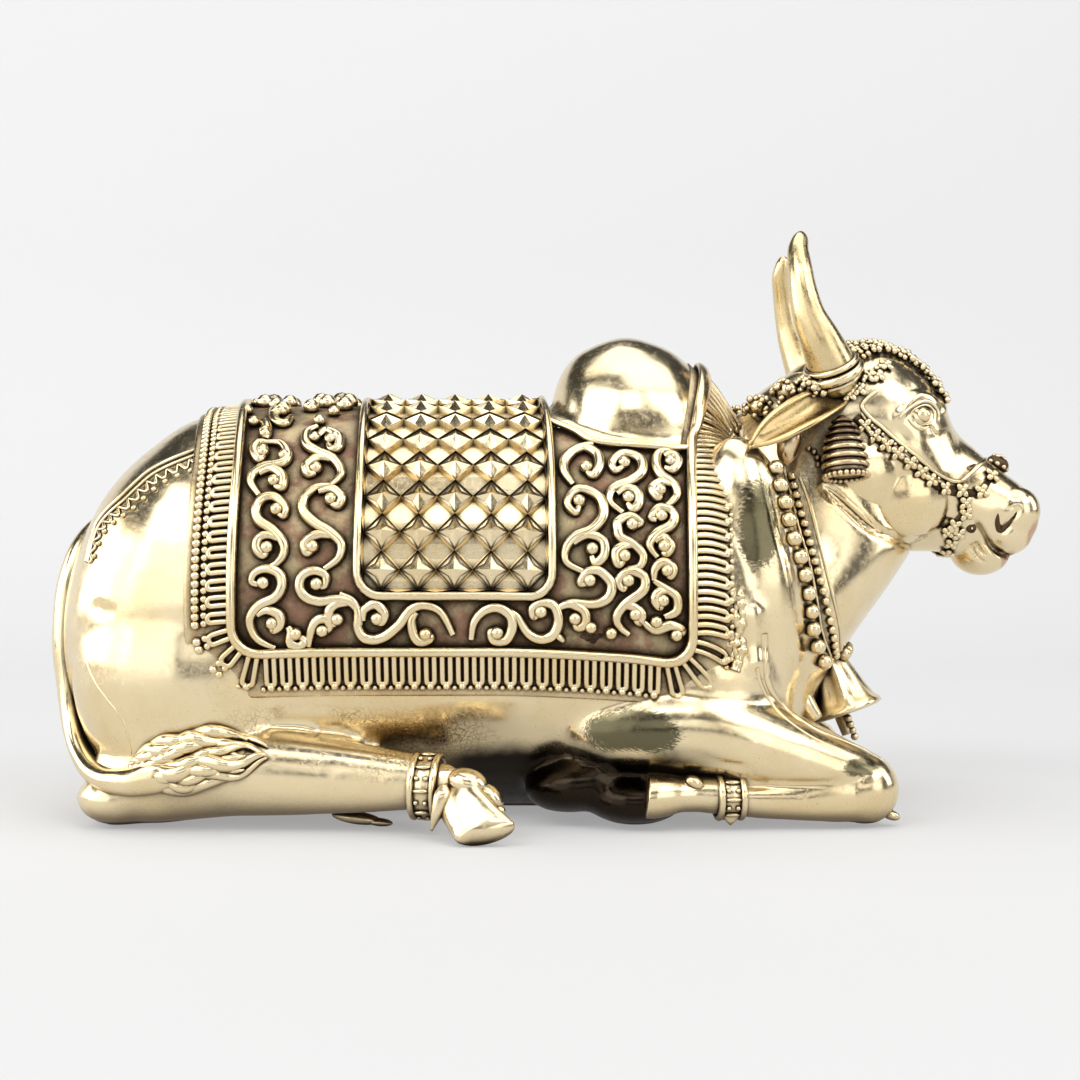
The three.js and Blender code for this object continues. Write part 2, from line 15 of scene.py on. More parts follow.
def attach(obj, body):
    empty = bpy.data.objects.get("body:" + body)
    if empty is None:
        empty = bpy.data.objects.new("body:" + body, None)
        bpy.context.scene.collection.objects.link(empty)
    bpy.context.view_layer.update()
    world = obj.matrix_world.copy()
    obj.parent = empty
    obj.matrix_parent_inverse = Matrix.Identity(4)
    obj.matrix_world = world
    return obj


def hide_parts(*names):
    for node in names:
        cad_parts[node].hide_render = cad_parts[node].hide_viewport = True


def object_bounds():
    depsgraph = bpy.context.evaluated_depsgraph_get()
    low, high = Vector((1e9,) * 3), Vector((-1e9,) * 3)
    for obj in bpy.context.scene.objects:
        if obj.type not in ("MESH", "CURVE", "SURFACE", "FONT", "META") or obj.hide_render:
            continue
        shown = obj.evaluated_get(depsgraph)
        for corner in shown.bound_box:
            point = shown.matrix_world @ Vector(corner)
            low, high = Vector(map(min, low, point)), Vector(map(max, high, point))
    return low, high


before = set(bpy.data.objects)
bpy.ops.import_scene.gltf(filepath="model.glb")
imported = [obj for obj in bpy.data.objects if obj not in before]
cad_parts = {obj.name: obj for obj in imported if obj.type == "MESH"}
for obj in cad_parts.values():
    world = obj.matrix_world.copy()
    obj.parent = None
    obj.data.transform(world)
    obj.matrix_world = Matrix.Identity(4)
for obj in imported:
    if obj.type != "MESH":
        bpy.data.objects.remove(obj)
cad_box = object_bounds()

MM = 0.001

# The camera stands level with the middle of the picture. A pixel of the photograph is read through it.
EYE_X, EYE_Y, EYE_Z = -1.6, -290.0, 50.0
FOCAL_PX = 1505.0
CENTRE_PX = 540.0
FRAME_PX = 1080.0
# The casting sits this far from the axes that its stations are written in
SHIFT_X = -0.15

# Saddle cloth, along the barrel (x) and down its side from the spine (s)
FRAME_REAR, FRAME_FRONT, FRAME_DROP = -53.8, 24.2, 64.0
CORNER = 5.0
FRINGE_REAR, FRINGE_FRONT, FRINGE_FOOT = 6.7, 7.0, 6.6
RIB_PITCH = 1.36
PANEL_REAR, PANEL_FRONT, PANEL_DROP = -31.5, -0.6, 52.5
DIAMOND_S = 6.3
DIAMOND_COLUMNS, DIAMOND_ROWS = 5, 8
# Heights in the panel: its seams, ridges round the pits, floors of the pits, peaks, and the dent in each face
SEAM_LIFT, RIDGE_LIFT, FLOOR_LIFT, PEAK_LIFT, DENT = 1.45, 1.9, 0.75, 2.9, 0.3
RIDGE_WIDTH, SIDE_WIDTH = 0.3, 0.55
GROUND_LIFT = 0.45
ROLL_LIFT = 1.35
SPINE_WIDTH = 10.5
BODY_GRAIN, BODY_QUICK, HEAD_GRAIN, HEAD_QUICK = 0.85, 1.3, 0.34, 0.6
# The cloth spreads a little towards the spine: along x, how far forward it moves there
SPREAD = [[-66, -3.6], [-53.8, -3.4], [-32, -1.9], [0, -1.4], [8, -0.4], [24.2, 3.0], [36, 3.2]]
SPREAD_REACH = 22.0


def between(rows, t):
    """Monotone cubic through rows sorted by their first number; gives the other numbers at each t."""
    rows = np.asarray(rows, float)
    t = np.atleast_1d(np.asarray(t, float))
    at, values = rows[:, 0], rows[:, 1:]
    width = np.diff(at)
    slope = np.diff(values, axis=0) / width[:, None]
    tangent = np.empty_like(values)
    tangent[0], tangent[-1] = slope[0], slope[-1]
    before, after = slope[:-1], slope[1:]
    total = np.where(before + after == 0, 1, before + after)
    tangent[1:-1] = np.where(before * after <= 0, 0, 2 * before * after / total)
    i = np.clip(np.searchsorted(at, t, side="right") - 1, 0, len(at) - 2)
    f = np.clip((t - at[i]) / width[i], 0, 1)[:, None]
    w = width[i][:, None]
    return (values[i] + (values[i + 1] - values[i]) * (3 * f**2 - 2 * f**3)
            + tangent[i] * w * (f**3 - 2 * f**2 + f) + tangent[i + 1] * w * (f**3 - f**2))


class Form:
    """A rounded form along one axis. A station is [place, low end, widest place, high end, half width]."""

    def __init__(self, axis, stations):
        self.axis = axis
        self.stations = stations

    def raw(self, t, angle):
        t, angle = np.broadcast_arrays(np.atleast_1d(np.asarray(t, float)), np.asarray(angle, float))
        low, wide, high, half = between(self.stations, t).T
        c = np.cos(angle)
        along = wide + np.where(c > 0, high - wide, wide - low) * c
        across = half * np.sin(angle)
        return np.stack([t, across, along] if self.axis == "x" else [along, across, t], axis=1)

    def point(self, t, angle, lift=0.0):
        p = self.raw(t, angle)
        along = self.raw(np.asarray(t) + 0.2, angle) - self.raw(np.asarray(t) - 0.2, angle)
        around = self.raw(t, np.asarray(angle) + 0.02) - self.raw(t, np.asarray(angle) - 0.02)
        normal = np.cross(around, along) if self.axis == "x" else np.cross(along, around)
        normal /= np.linalg.norm(normal, axis=1, keepdims=True) + 1e-9
        wide = between(self.stations, np.broadcast_to(np.asarray(t, float), len(p)))[:, 1]
        middle = np.stack([p[:, 0], 0 * wide, wide] if self.axis == "x" else [wide, 0 * wide, p[:, 2]],
                          axis=1)
        normal *= np.sign(((p - middle) * normal).sum(1, keepdims=True) + 1e-12)
        return p + normal * np.atleast_1d(lift)[:, None]

    def loft(self, bm, count, around):
        first, last = self.stations[0][0], self.stations[-1][0]
        turn = np.linspace(0, 2 * pi, around, endpoint=False)
        ease = (1 - np.cos(np.linspace(0, pi, count))) / 2
        places = first + (last - first) * (0.5 * ease + 0.5 * np.linspace(0, 1, count))
        loft(bm, [self.raw(t, turn) for t in places])


# Mesh work


def ring(bm, points):
    verts = [bm.verts.new(p) for p in points]
    return [bm.edges.new((verts[i - 1], verts[i])) for i in range(len(verts))]


def loft(bm, rings, closed=False):
    """A skin bridged through rings of points, its two ends filled unless it closes on itself."""
    loops = [ring(bm, points) for points in rings]
    for a, b in zip(loops, loops[1:] + ([loops[0]] if closed else [])):
        bmesh.ops.bridge_loops(bm, edges=a + b)
    if not closed:
        for end in (loops[0], loops[-1]):
            bmesh.ops.edgeloop_fill(bm, edges=end)


def limb(bm, stations, rows=24, around=28, side=1, power=2.0):
    """A limb through stations [x, y, z, half width across, half height]."""
    rows_in = np.array([[i, s[0], s[1] * side, s[2], s[3], s[4]] for i, s in enumerate(stations)], float)
    t = np.linspace(0, len(stations) - 1, rows)
    values = between(rows_in, t)
    centres = values[:, :3]
    along = np.gradient(centres, axis=0)
    turn = np.linspace(0, 2 * pi, around, endpoint=False)
    rings = []
    for centre, way, (w, h) in zip(centres, along, values[:, 3:]):
        way = way / np.linalg.norm(way)
        across = np.array([0, 1, 0]) - way * way[1]
        across /= np.linalg.norm(across)
        up = np.cross(way, across)
        c = np.sign(np.cos(turn)) * np.abs(np.cos(turn)) ** (2 / power)
        s = np.sign(np.sin(turn)) * np.abs(np.sin(turn)) ** (2 / power)
        rings.append(centre + np.outer(w * c, across) + np.outer(h * s, up))
    loft(bm, rings)


def egg(bm, centre, radii, pitch=0.0, yaw=0.0, detail=24):
    place = (Matrix.Translation(Vector(centre)) @ Matrix.Rotation(yaw, 4, "Z")
             @ Matrix.Rotation(-pitch, 4, "Y") @ Matrix.Diagonal((*radii, 1)))
    return bmesh.ops.create_uvsphere(bm, u_segments=detail, v_segments=detail // 2 + 2, radius=1,
                                     matrix=place)["verts"]


def ball(bm, centre, radius, detail=2):
    return bmesh.ops.create_icosphere(bm, subdivisions=detail, radius=radius,
                                      matrix=Matrix.Translation(Vector(centre)))["verts"]


def piece_of(name, bm):
    bmesh.ops.recalc_face_normals(bm, faces=bm.faces)
    mesh = bpy.data.meshes.new(name)
    bm.to_mesh(mesh)
    bm.free()
    piece = bpy.data.objects.new(name, mesh)
    bpy.context.scene.collection.objects.link(piece)
    return piece


def settle(piece):
    """The piece's mesh with its modifiers made part of it."""
    bpy.context.view_layer.update()
    done = bpy.data.meshes.new_from_object(piece.evaluated_get(bpy.context.evaluated_depsgraph_get()))
    piece.modifiers.clear()
    old = piece.data
    piece.data = done
    bpy.data.meshes.remove(old)
    return piece


def fuse(piece, voxel, rounds, factor=0.5):
    """Melts a piece's crossing forms into one skin and smooths the creases between them."""
    remesh = piece.modifiers.new("Fuse", "REMESH")
    remesh.mode = "VOXEL"
    remesh.voxel_size = voxel
    if rounds:
        smooth = piece.modifiers.new("Flow", "SMOOTH")
        smooth.factor = factor
        smooth.iterations = rounds
    return settle(piece)


def points_of(piece, what="co"):
    data = np.empty(len(piece.data.vertices) * 3)
    source = piece.data.vertices if what == "co" else piece.data.vertex_normals
    source.foreach_get("co" if what == "co" else "vector", data)
    return data.reshape(-1, 3)


def set_points(piece, points):
    piece.data.vertices.foreach_set("co", np.ascontiguousarray(points).ravel())
    piece.data.update()


def pixels(points):
    """Where points fall in the photograph."""
    scale = FOCAL_PX / (points[:, 1] - EYE_Y)
    return np.stack([CENTRE_PX + (points[:, 0] - EYE_X) * scale, CENTRE_PX - (points[:, 2] - EYE_Z) * scale],
                    1), scale


# Parts of the photograph that places were read on: left and top pixel, and how much each is enlarged
HEAD_ZOOM, FRONT_ZOOM, REAR_ZOOM = (780, 320, 5.6), (330, 380, 4.238), (180, 370, 5.058)


def zoomed(*places, origin=HEAD_ZOOM):
    """Places read on an enlarged part of the photograph, as pixels of it."""
    return [(origin[0] + x / origin[2], origin[1] + y / origin[2]) for x, y in places]


def distance_to_path(at, path):
    """The distance of 2-D places from a path, and how far along it each one's nearest point is, 0 to 1."""
    best = np.full(len(at), 1e9)
    share = np.zeros(len(at))
    lengths = [hypot(b[0] - a[0], b[1] - a[1]) for a, b in zip(path, path[1:])]
    total, walked = sum(lengths), 0.0
    for a, b, length in zip(path, path[1:], lengths):
        a, b = np.asarray(a, float), np.asarray(b, float)
        f = np.clip(((at - a) @ (b - a)) / (length**2 + 1e-9), 0, 1)
        d = np.hypot(*(at - a - f[:, None] * (b - a)).T)
        nearer = d < best
        best = np.where(nearer, d, best)
        share = np.where(nearer, (walked + f * length) / total, share)
        walked += length
    return best, share


def curve_through(points, count):
    """A smooth path through a few places."""
    points = np.asarray(points, float)
    t = np.linspace(0, len(points) - 1, count)
    i = np.clip(t.astype(int), 0, len(points) - 2)
    f = (t - i)[:, None]
    a, b, c, d = (points[np.clip(i + step, 0, len(points) - 1)] for step in (-1, 0, 1, 2))
    return 0.5 * (2 * b + (c - a) * f + (2 * a - 5 * b + 4 * c - d) * f**2 + (3 * b - a - 3 * c + d) * f**3)


def carve(piece, path, width, depth, sides=(-1, 1), taper=True, box=None):
    """Presses a groove, or raises a ridge where depth is negative, along a path drawn on the photograph."""
    points, normals = points_of(piece), points_of(piece, "normal")
    path = curve_through(path, 6 * len(path))
    for side in sides:
        seen = points * [1, -side, 1]
        facing = normals * [1, -side, 1]
        at, scale = pixels(seen)
        look = seen - [EYE_X, EYE_Y, EYE_Z]
        look /= np.linalg.norm(look, axis=1, keepdims=True)
        lo, hi = path.min(0) - 30, path.max(0) + 30
        near = (seen[:, 1] < 0) & ((look * facing).sum(1) < -0.05) & (at > lo).all(1) & (at < hi).all(1)
        if not near.any():
            continue
        d, share = distance_to_path(at[near], path)
        amount = np.exp(-((d / scale[near] / width) ** 2))
        if taper:
            amount *= np.clip(6 * np.minimum(share, 1 - share) + 0.15, 0, 1)
        points[near] -= normals[near] * (depth * amount)[:, None]
    set_points(piece, points)


class Skin:
    """The surface of a finished piece, felt from the camera through a pixel of the photograph."""

    def __init__(self, *pieces):
        verts, faces = [], []
        for piece in pieces:
            start = len(verts)
            verts += [v.co.copy() for v in piece.data.vertices]
            faces += [[start + k for k in p.vertices] for p in piece.data.polygons]
        self.tree = BVHTree.FromPolygons(verts, faces)

    def touch(self, px, py, lift=0.0):
        eye = Vector((EYE_X, EYE_Y, EYE_Z))
        way = Vector(((px - CENTRE_PX) / FOCAL_PX, 1, (CENTRE_PX - py) / FOCAL_PX)).normalized()
        place, normal, _, _ = self.tree.ray_cast(eye, way)
        if place is None:
            place, normal, _, _ = self.tree.find_nearest(eye + way * 290)
        return place + normal * lift

    def near(self, point, lift=0.0):
        place, normal, _, _ = self.tree.find_nearest(Vector(point))
        return place + normal * lift

    def trace(self, path, lift=0.0, count=None):
        drawn = curve_through(path, count or 8 * len(path))
        return [self.touch(px, py, lift) for px, py in drawn]


def mirrored(paths):
    return [[Vector((p[0], -p[1], p[2])) for p in path] for path in paths]


def both_sides(places):
    return [*places, *mirrored([places])[0]]


def swelling(count, least, most, late=1.0):
    """Radii of a cord that swells between its ends, in the middle or late along it."""
    return [least + most * sin(pi * (k / (count - 1)) ** late) for k in range(count)]


def strands(name, paths, radii, detail=2, closed=False, resolution=1):
    """Round cords along paths. A radius is one number, or one for each point of its path."""
    curve = bpy.data.curves.new(name, "CURVE")
    curve.dimensions = "3D"
    curve.bevel_depth = 1.0
    curve.bevel_resolution = detail
    curve.use_fill_caps = True
    curve.resolution_u = resolution
    for path, radius in zip(paths, radii):
        spline = curve.splines.new("POLY")
        spline.points.add(len(path) - 1)
        for k, (point, place) in enumerate(zip(spline.points, path)):
            point.co = (*place, 1)
            point.radius = radius if np.isscalar(radius) else radius[k]
        spline.use_cyclic_u = closed
    holder = bpy.data.objects.new(name, curve)
    bpy.context.scene.collection.objects.link(holder)
    bpy.context.view_layer.update()
    mesh = bpy.data.meshes.new_from_object(holder.evaluated_get(bpy.context.evaluated_depsgraph_get()))
    bpy.data.objects.remove(holder)
    bpy.data.curves.remove(curve)
    piece = bpy.data.objects.new(name, mesh)
    bpy.context.scene.collection.objects.link(piece)
    return piece


def merged(name, *pieces):
    """Several pieces as one, under one name."""
    bm = bmesh.new()
    for piece in pieces:
        bm.from_mesh(piece.data)
        old = piece.data
        bpy.data.objects.remove(piece)
        bpy.data.meshes.remove(old)
    bmesh.ops.remove_doubles(bm, verts=bm.verts, dist=1e-5)
    return piece_of(name, bm)


def bead_row(bm, path, radius, pitch, detail=2, start=0.5):
    """Balls set along a path at a pitch."""
    path = [Vector(p) for p in path]
    lengths = [(b - a).length for a, b in zip(path, path[1:])]
    total = sum(lengths)
    count = max(1, round(total / pitch))
    for k in range(count):
        want = total * (k + start) / count
        i = 0
        while i < len(lengths) - 1 and want > lengths[i]:
            want -= lengths[i]
            i += 1
        ball(bm, path[i].lerp(path[i + 1], min(1, want / (lengths[i] + 1e-9))), radius, detail)


# Shader work


class Value:
    """A socket in a shader; sums and products of values add the Math nodes that work them out."""

    def __init__(self, nodes, socket):
        self.nodes = nodes
        self.socket = socket

    def math(self, kind, *others, flip=False):
        node = self.nodes.new("ShaderNodeMath")
        node.operation = kind
        inputs = [self, *others]
        if flip:
            inputs = [others[0], self]
        for socket, value in zip(node.inputs, inputs):
            if isinstance(value, Value):
                self.nodes.id_data.links.new(value.socket, socket)
            else:
                socket.default_value = value
        return Value(self.nodes, node.outputs[0])

    def __add__(self, other):
        return self.math("ADD", other)

    __radd__ = __add__

    def __mul__(self, other):
        return self.math("MULTIPLY", other)

    __rmul__ = __mul__

    def __sub__(self, other):
        return self.math("SUBTRACT", other)

    def __rsub__(self, other):
        return self.math("SUBTRACT", other, flip=True)

    def __pow__(self, other):
        return self.math("POWER", other)

    def clamped(self, low=0.0, high=1.0):
        return self.math("MAXIMUM", low).math("MINIMUM", high)

    def ramp(self, low, high):
        """0 at low, 1 at high, smooth between them."""
        node = self.nodes.new("ShaderNodeMapRange")
        node.interpolation_type = "SMOOTHSTEP"
        self.nodes.id_data.links.new(self.socket, node.inputs["Value"])
        node.inputs["From Min"].default_value = low
        node.inputs["From Max"].default_value = high
        return Value(self.nodes, node.outputs["Result"])


class Shader:
    """The node tree of one finish."""

    def __init__(self, name):
        self.material = bpy.data.materials.new(name)
        self.material.use_nodes = True
        self.nodes = self.material.node_tree.nodes
        self.links = self.material.node_tree.links
        self.surface = self.nodes["Principled BSDF"]
        self.place = self.add("TexCoord").outputs["Object"]

    def add(self, kind, settings=None, **inputs):
        node = self.nodes.new("ShaderNode" + kind)
        for key, value in (settings or {}).items():
            setattr(node, key, value)
        for key, value in inputs.items():
            self.put(node, key.replace("_", " "), value)
        return node

    def put(self, node, key, value):
        socket = node.inputs[int(key[1:])] if key[0] == "#" else node.inputs[key]
        if isinstance(value, Value):
            value = value.socket
        if isinstance(value, bpy.types.NodeSocket):
            self.links.new(value, socket)
        else:
            socket.default_value = value

    def value(self, node, output):
        return Value(self.nodes, node.outputs[output])

    def noise(self, scale, detail=3.0, rough=0.55, stretch=(1, 1, 1), turn=(0, 0, 0)):
        placed = self.add("Mapping", None, Vector=self.place, Scale=stretch, Rotation=turn)
        node = self.add("TexNoise", None, Vector=placed.outputs[0], Scale=scale, Detail=detail,
                        Roughness=rough)
        return self.value(node, "Fac")

    def mix(self, factor, a, b):
        node = self.add("Mix", {"data_type": "RGBA"})
        self.put(node, "#0", factor)
        self.put(node, "#6", a)
        self.put(node, "#7", b)
        return node.outputs[2]

    def vectors(self, operation, *values, output=0, **inputs):
        node = self.add("VectorMath", {"operation": operation}, **inputs)
        for k, value in enumerate(values):
            self.put(node, f"#{k}", value)
        return node.outputs[output]


def brass(name, bright=(0.84, 0.70, 0.45, 1), warm=(0.72, 0.54, 0.27, 1), patina=(0.030, 0.019, 0.011, 1),
          roughness=0.17, reach=0.0016, patina_from=0.80, patina_to=0.35, grain=0.12, pits=0.5, belly=0.0,
          mottle=0.0, patches=()):
    """Polished brass: warm patches, patina held in the hollows, painted shade where other parts close round
    the surface, fine scratches, porosity and casting pits.
    """
    shader = Shader(name)
    surface = shader.surface
    surface.inputs["Metallic"].default_value = 1.0
    hollow = shader.value(shader.add("AmbientOcclusion", {"samples": 6}, Distance=reach), "AO")
    under = shader.value(shader.add("AmbientOcclusion", {"samples": 8}, Distance=0.03), "AO")
    broad = shader.noise(60.0, 4.0)
    fine = shader.noise(900.0, 5.0, 0.7)
    speck = shader.noise(2600.0, 2.0, 0.6)
    scratch = shader.noise(700.0, 3.0, 0.7, stretch=(1, 14, 3), turn=(0.4, 0.7, 0.2))
    dark = 1 - (hollow + (fine - 0.5) * 0.28).ramp(patina_to, patina_from)
    # Painted shade: the colour darkens where other parts close round the surface within 30 mm, as under the
    # belly and between the legs
    painted_shade = 1 - (under + (broad - 0.5) * 0.2).ramp(0.10, 0.46)
    worn = broad.ramp(0.42, 0.68)
    colour = shader.mix(worn * 0.5, bright, warm)
    if mottle:
        colour = shader.mix(shader.noise(190.0, 4.0, 0.65).ramp(0.42, 0.60) * mottle, bright, warm)
    porous = speck.ramp(0.60, 0.74) * broad.ramp(0.35, 0.6)
    colour = shader.mix(porous * pits * 0.5, colour, (0.30, 0.19, 0.09, 1))
    # Painted shade mixed into the colour
    colour = shader.mix(painted_shade * 0.85, colour, (0.11, 0.065, 0.03, 1))
    height = scratch * 0.35 + fine * 0.45 - porous * 0.8
    if belly:
        # Painted shade: the colour under the belly is made very dark; the skin is also crackled along the
        # lower edge of the cloth
        split = shader.add("SeparateXYZ", None, Vector=shader.place)
        x, z = shader.value(split, "X"), shader.value(split, "Z") + (broad - 0.5) * 0.008
        painted_belly_shade = x.ramp(-0.024, -0.014) * (1 - x.ramp(0.020, 0.032)) * (1 - z.ramp(0.0115, 0.0155)) * belly
        band = (x.ramp(-0.060, -0.046) * (1 - x.ramp(-0.014, 0.0))
                * z.ramp(0.008, 0.013) * (1 - z.ramp(0.019, 0.023)))
        drift = shader.add("TexNoise", None, Vector=shader.place, Scale=260.0, Detail=4.0).outputs["Color"]
        wander = shader.vectors("SCALE", drift, Scale=0.004)
        moved = shader.vectors("ADD", shader.place, wander)
        cells = shader.add("TexVoronoi", {"feature": "DISTANCE_TO_EDGE"}, Vector=moved, Scale=1000.0)
        crack = (1 - shader.value(cells, "Distance").ramp(0.01, 0.09)) * band * broad.ramp(0.44, 0.56)
        colour = shader.mix(crack * 0.6, colour, (0.12, 0.07, 0.03, 1))
        # Painted shade under the belly, mixed into the colour
        colour = shader.mix(painted_belly_shade, colour, (0.022, 0.016, 0.011, 1))
        height = height - crack * 6
    for centre, radii, tone, strength in patches:
        # A patch of another colour with a ragged, scratched edge; the olive patches of the body are painted
        # dark reflections
        middle = shader.add("Mapping", {"vector_type": "TEXTURE"}, Vector=shader.place,
                            Location=[c * MM for c in centre], Scale=[r * MM for r in radii])
        away = Value(shader.nodes, shader.vectors("LENGTH", middle.outputs[0], output="Value"))
        ragged = 1 - (away + (broad - 0.5) * 1.2 + (scratch - 0.5) * 0.9).ramp(0.8, 1.05)
        colour = shader.mix(ragged * strength, colour, tone)
    colour = shader.mix(dark, colour, patina)
    surface.inputs["Base Color"].default_value = bright
    shader.links.new(colour, surface.inputs["Base Color"])
    rough = fine.ramp(0.35, 0.75) * grain + roughness + dark * 0.35 + porous * 0.12 + painted_shade * 0.2
    shader.links.new(rough.clamped(0.04, 0.9).socket, surface.inputs["Roughness"])
    scratched = shader.add("Bump", None, Height=height, Strength=0.16, Distance=0.00005)
    shader.links.new(scratched.outputs[0], surface.inputs["Normal"])
    return shader.material


# The olive tone is a painted dark reflection on the body
DARK_REFLECTION_OLIVE, COPPER, BROWN = (0.085, 0.078, 0.040, 1), (0.42, 0.13, 0.06, 1), (0.13, 0.07, 0.04, 1)
POLISHED = brass("polished_brass")
HEAD = brass("head_brass", patches=(((92.4, -5, 50.6), (2.3, 9, 3.8), COPPER, 0.55),
                                    ((87.4, -4, 45.6), (1.5, 6, 2.2), COPPER, 0.5)))
# The olive patches on the neck and foreleg are painted dark reflections
# belly=1.0 turns on the painted shade under the belly
BODY = brass("body_brass", belly=1.0, patches=(((36.4, -24, 52.4), (4.2, 14, 8.4), DARK_REFLECTION_OLIVE, 0.92),
                                               ((13.6, -33, 17.0), (8.4, 9, 4.2), DARK_REFLECTION_OLIVE, 0.92),
                                               ((53.2, -29, 10.8), (3.6, 8, 1.8), DARK_REFLECTION_OLIVE, 0.9)))
CARVED = brass("carved_brass", roughness=0.2, reach=0.0016, patina_from=0.80, patina_to=0.36, grain=0.1)
EDGING = brass("fringe_brass", roughness=0.2, reach=0.0014, patina=(0.10, 0.055, 0.025, 1), patina_from=0.66,
               patina_to=0.2, grain=0.1)
CLOTH_GROUND = brass("cloth_ground_brass", bright=(0.60, 0.48, 0.28, 1), warm=(0.40, 0.235, 0.15, 1),
                     roughness=0.28,
                     reach=0.0046, patina_from=0.99, patina_to=0.68, grain=0.22, pits=1.0, mottle=1.0)
PIT_FLOOR = brass("pit_floor_brass", bright=(0.76, 0.63, 0.42, 1), warm=(0.56, 0.38, 0.25, 1), roughness=0.42,
                  reach=0.0009,
                  patina=(0.09, 0.055, 0.03, 1), patina_from=0.74, patina_to=0.25, grain=0.2, mottle=0.7)
PIT_SIDE = brass("pit_side_brass", bright=(0.52, 0.38, 0.21, 1), warm=(0.30, 0.19, 0.10, 1), roughness=0.3,
                 grain=0.2)
DARKENED = brass("darkened_brass", bright=(0.10, 0.065, 0.035, 1), warm=(0.035, 0.022, 0.014, 1),
                 roughness=0.34, grain=0.2, mottle=1.0)
FRINGE_GROUND = brass("fringe_ground_brass", bright=(0.72, 0.57, 0.34, 1), warm=(0.50, 0.35, 0.17, 1),
                      roughness=0.24, reach=0.0016,
                      patina_from=0.95, patina_to=0.62, mottle=0.5)
HORN_BRASS = brass("horn_brass", bright=(0.74, 0.59, 0.33, 1), warm=(0.60, 0.42, 0.19, 1), roughness=0.2,
                   pits=1.0, grain=0.2)
GOLDEN = brass("golden_brass", bright=(0.66, 0.49, 0.24, 1), warm=(0.45, 0.31, 0.13, 1), roughness=0.2,
               reach=0.003, patina_from=0.9,
               patina_to=0.4)
EAR_BELL = brass("ear_bell_brass", bright=(0.80, 0.64, 0.40, 1), warm=(0.48, 0.29, 0.16, 1), roughness=0.18,
                 reach=0.0018, patina_from=0.97,
                 patina_to=0.55, mottle=0.5, patches=(((52.6, 0, 71.8), (7.5, 90, 4.4), BROWN, 0.8),))


def finish(piece, material, smooth=True):
    """Sets a piece down in metres, inside the ground plane, and hangs it on the casting."""
    mesh = piece.data
    points = points_of(piece) + [SHIFT_X, 0, 0]
    points[:, 2] = np.maximum(points[:, 2], 0)
    lo, hi = (np.array(corner) / MM for corner in cad_box)
    set_points(piece, np.clip(points, lo, hi) * MM)
    mesh.polygons.foreach_set("use_smooth", [smooth] * len(mesh.polygons))
    mesh.materials.clear()
    for one in material if isinstance(material, tuple) else (material,):
        mesh.materials.append(one)
    mesh.update()
    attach(piece, "root")
    return piece


# Body

barrel = Form("x", [
    [-90.2, 27, 32, 37, 4],
    [-89.2, 20, 32.5, 45, 13.5],
    [-86.4, 12.5, 33.5, 53, 20.5],
    [-81.6, 5, 35, 61.4, 26.5],
    [-75, 1, 37, 67.8, 31],
    [-66, -0.8, 38.5, 73.4, 33.6],
    [-55, -0.8, 39.5, 75, 34.6],
    [-35, -0.8, 40.3, 75.2, 35],
    [-10, -0.8, 40.3, 75.2, 35],
    [10, -0.8, 40, 74.6, 34.6],
    [25, -0.8, 39, 73.6, 33.2],
    [34, 1, 37, 69.5, 30],
    [42, 3.5, 34, 60, 24],
    [48, 6.5, 30, 49, 16],
    [51, 12, 26, 38, 5],
])
hump = Form("x", [
    [0.8, 58, 64, 77, 8],
    [2.2, 56, 65, 81.5, 13],
    [6, 55, 66, 86, 17.5],
    [14.8, 54, 66, 88.9, 20],
    [22, 54, 66, 87, 19.5],
    [28, 54, 65, 82.5, 17],
    [32, 54, 63, 78, 14],
    [36, 54, 60, 72, 10],
])
neck = Form("z", [
    [3, 20, 34, 46, 14],
    [12, 16, 35, 49.5, 20],
    [22, 16, 36, 51.5, 23.5],
    [29, 17, 37.5, 56, 24],
    [36, 19, 40, 61, 23],
    [43, 22, 43, 66.2, 21],
    [50, 25, 46, 70, 18],
    [58, 29, 48, 68, 16],
    [66, 32.5, 50, 66, 14],
    [73, 35.5, 51, 65, 12.5],
    [78, 40, 52, 64, 11.5],
    [82, 46, 54, 63, 10],
])
HUMP_RISE = [[-4, 0], [0, 1], [5, 6.5], [14, 10], [21, 10], [25, 9], [28.5, 6.8], [31.5, 3], [35, 0]]

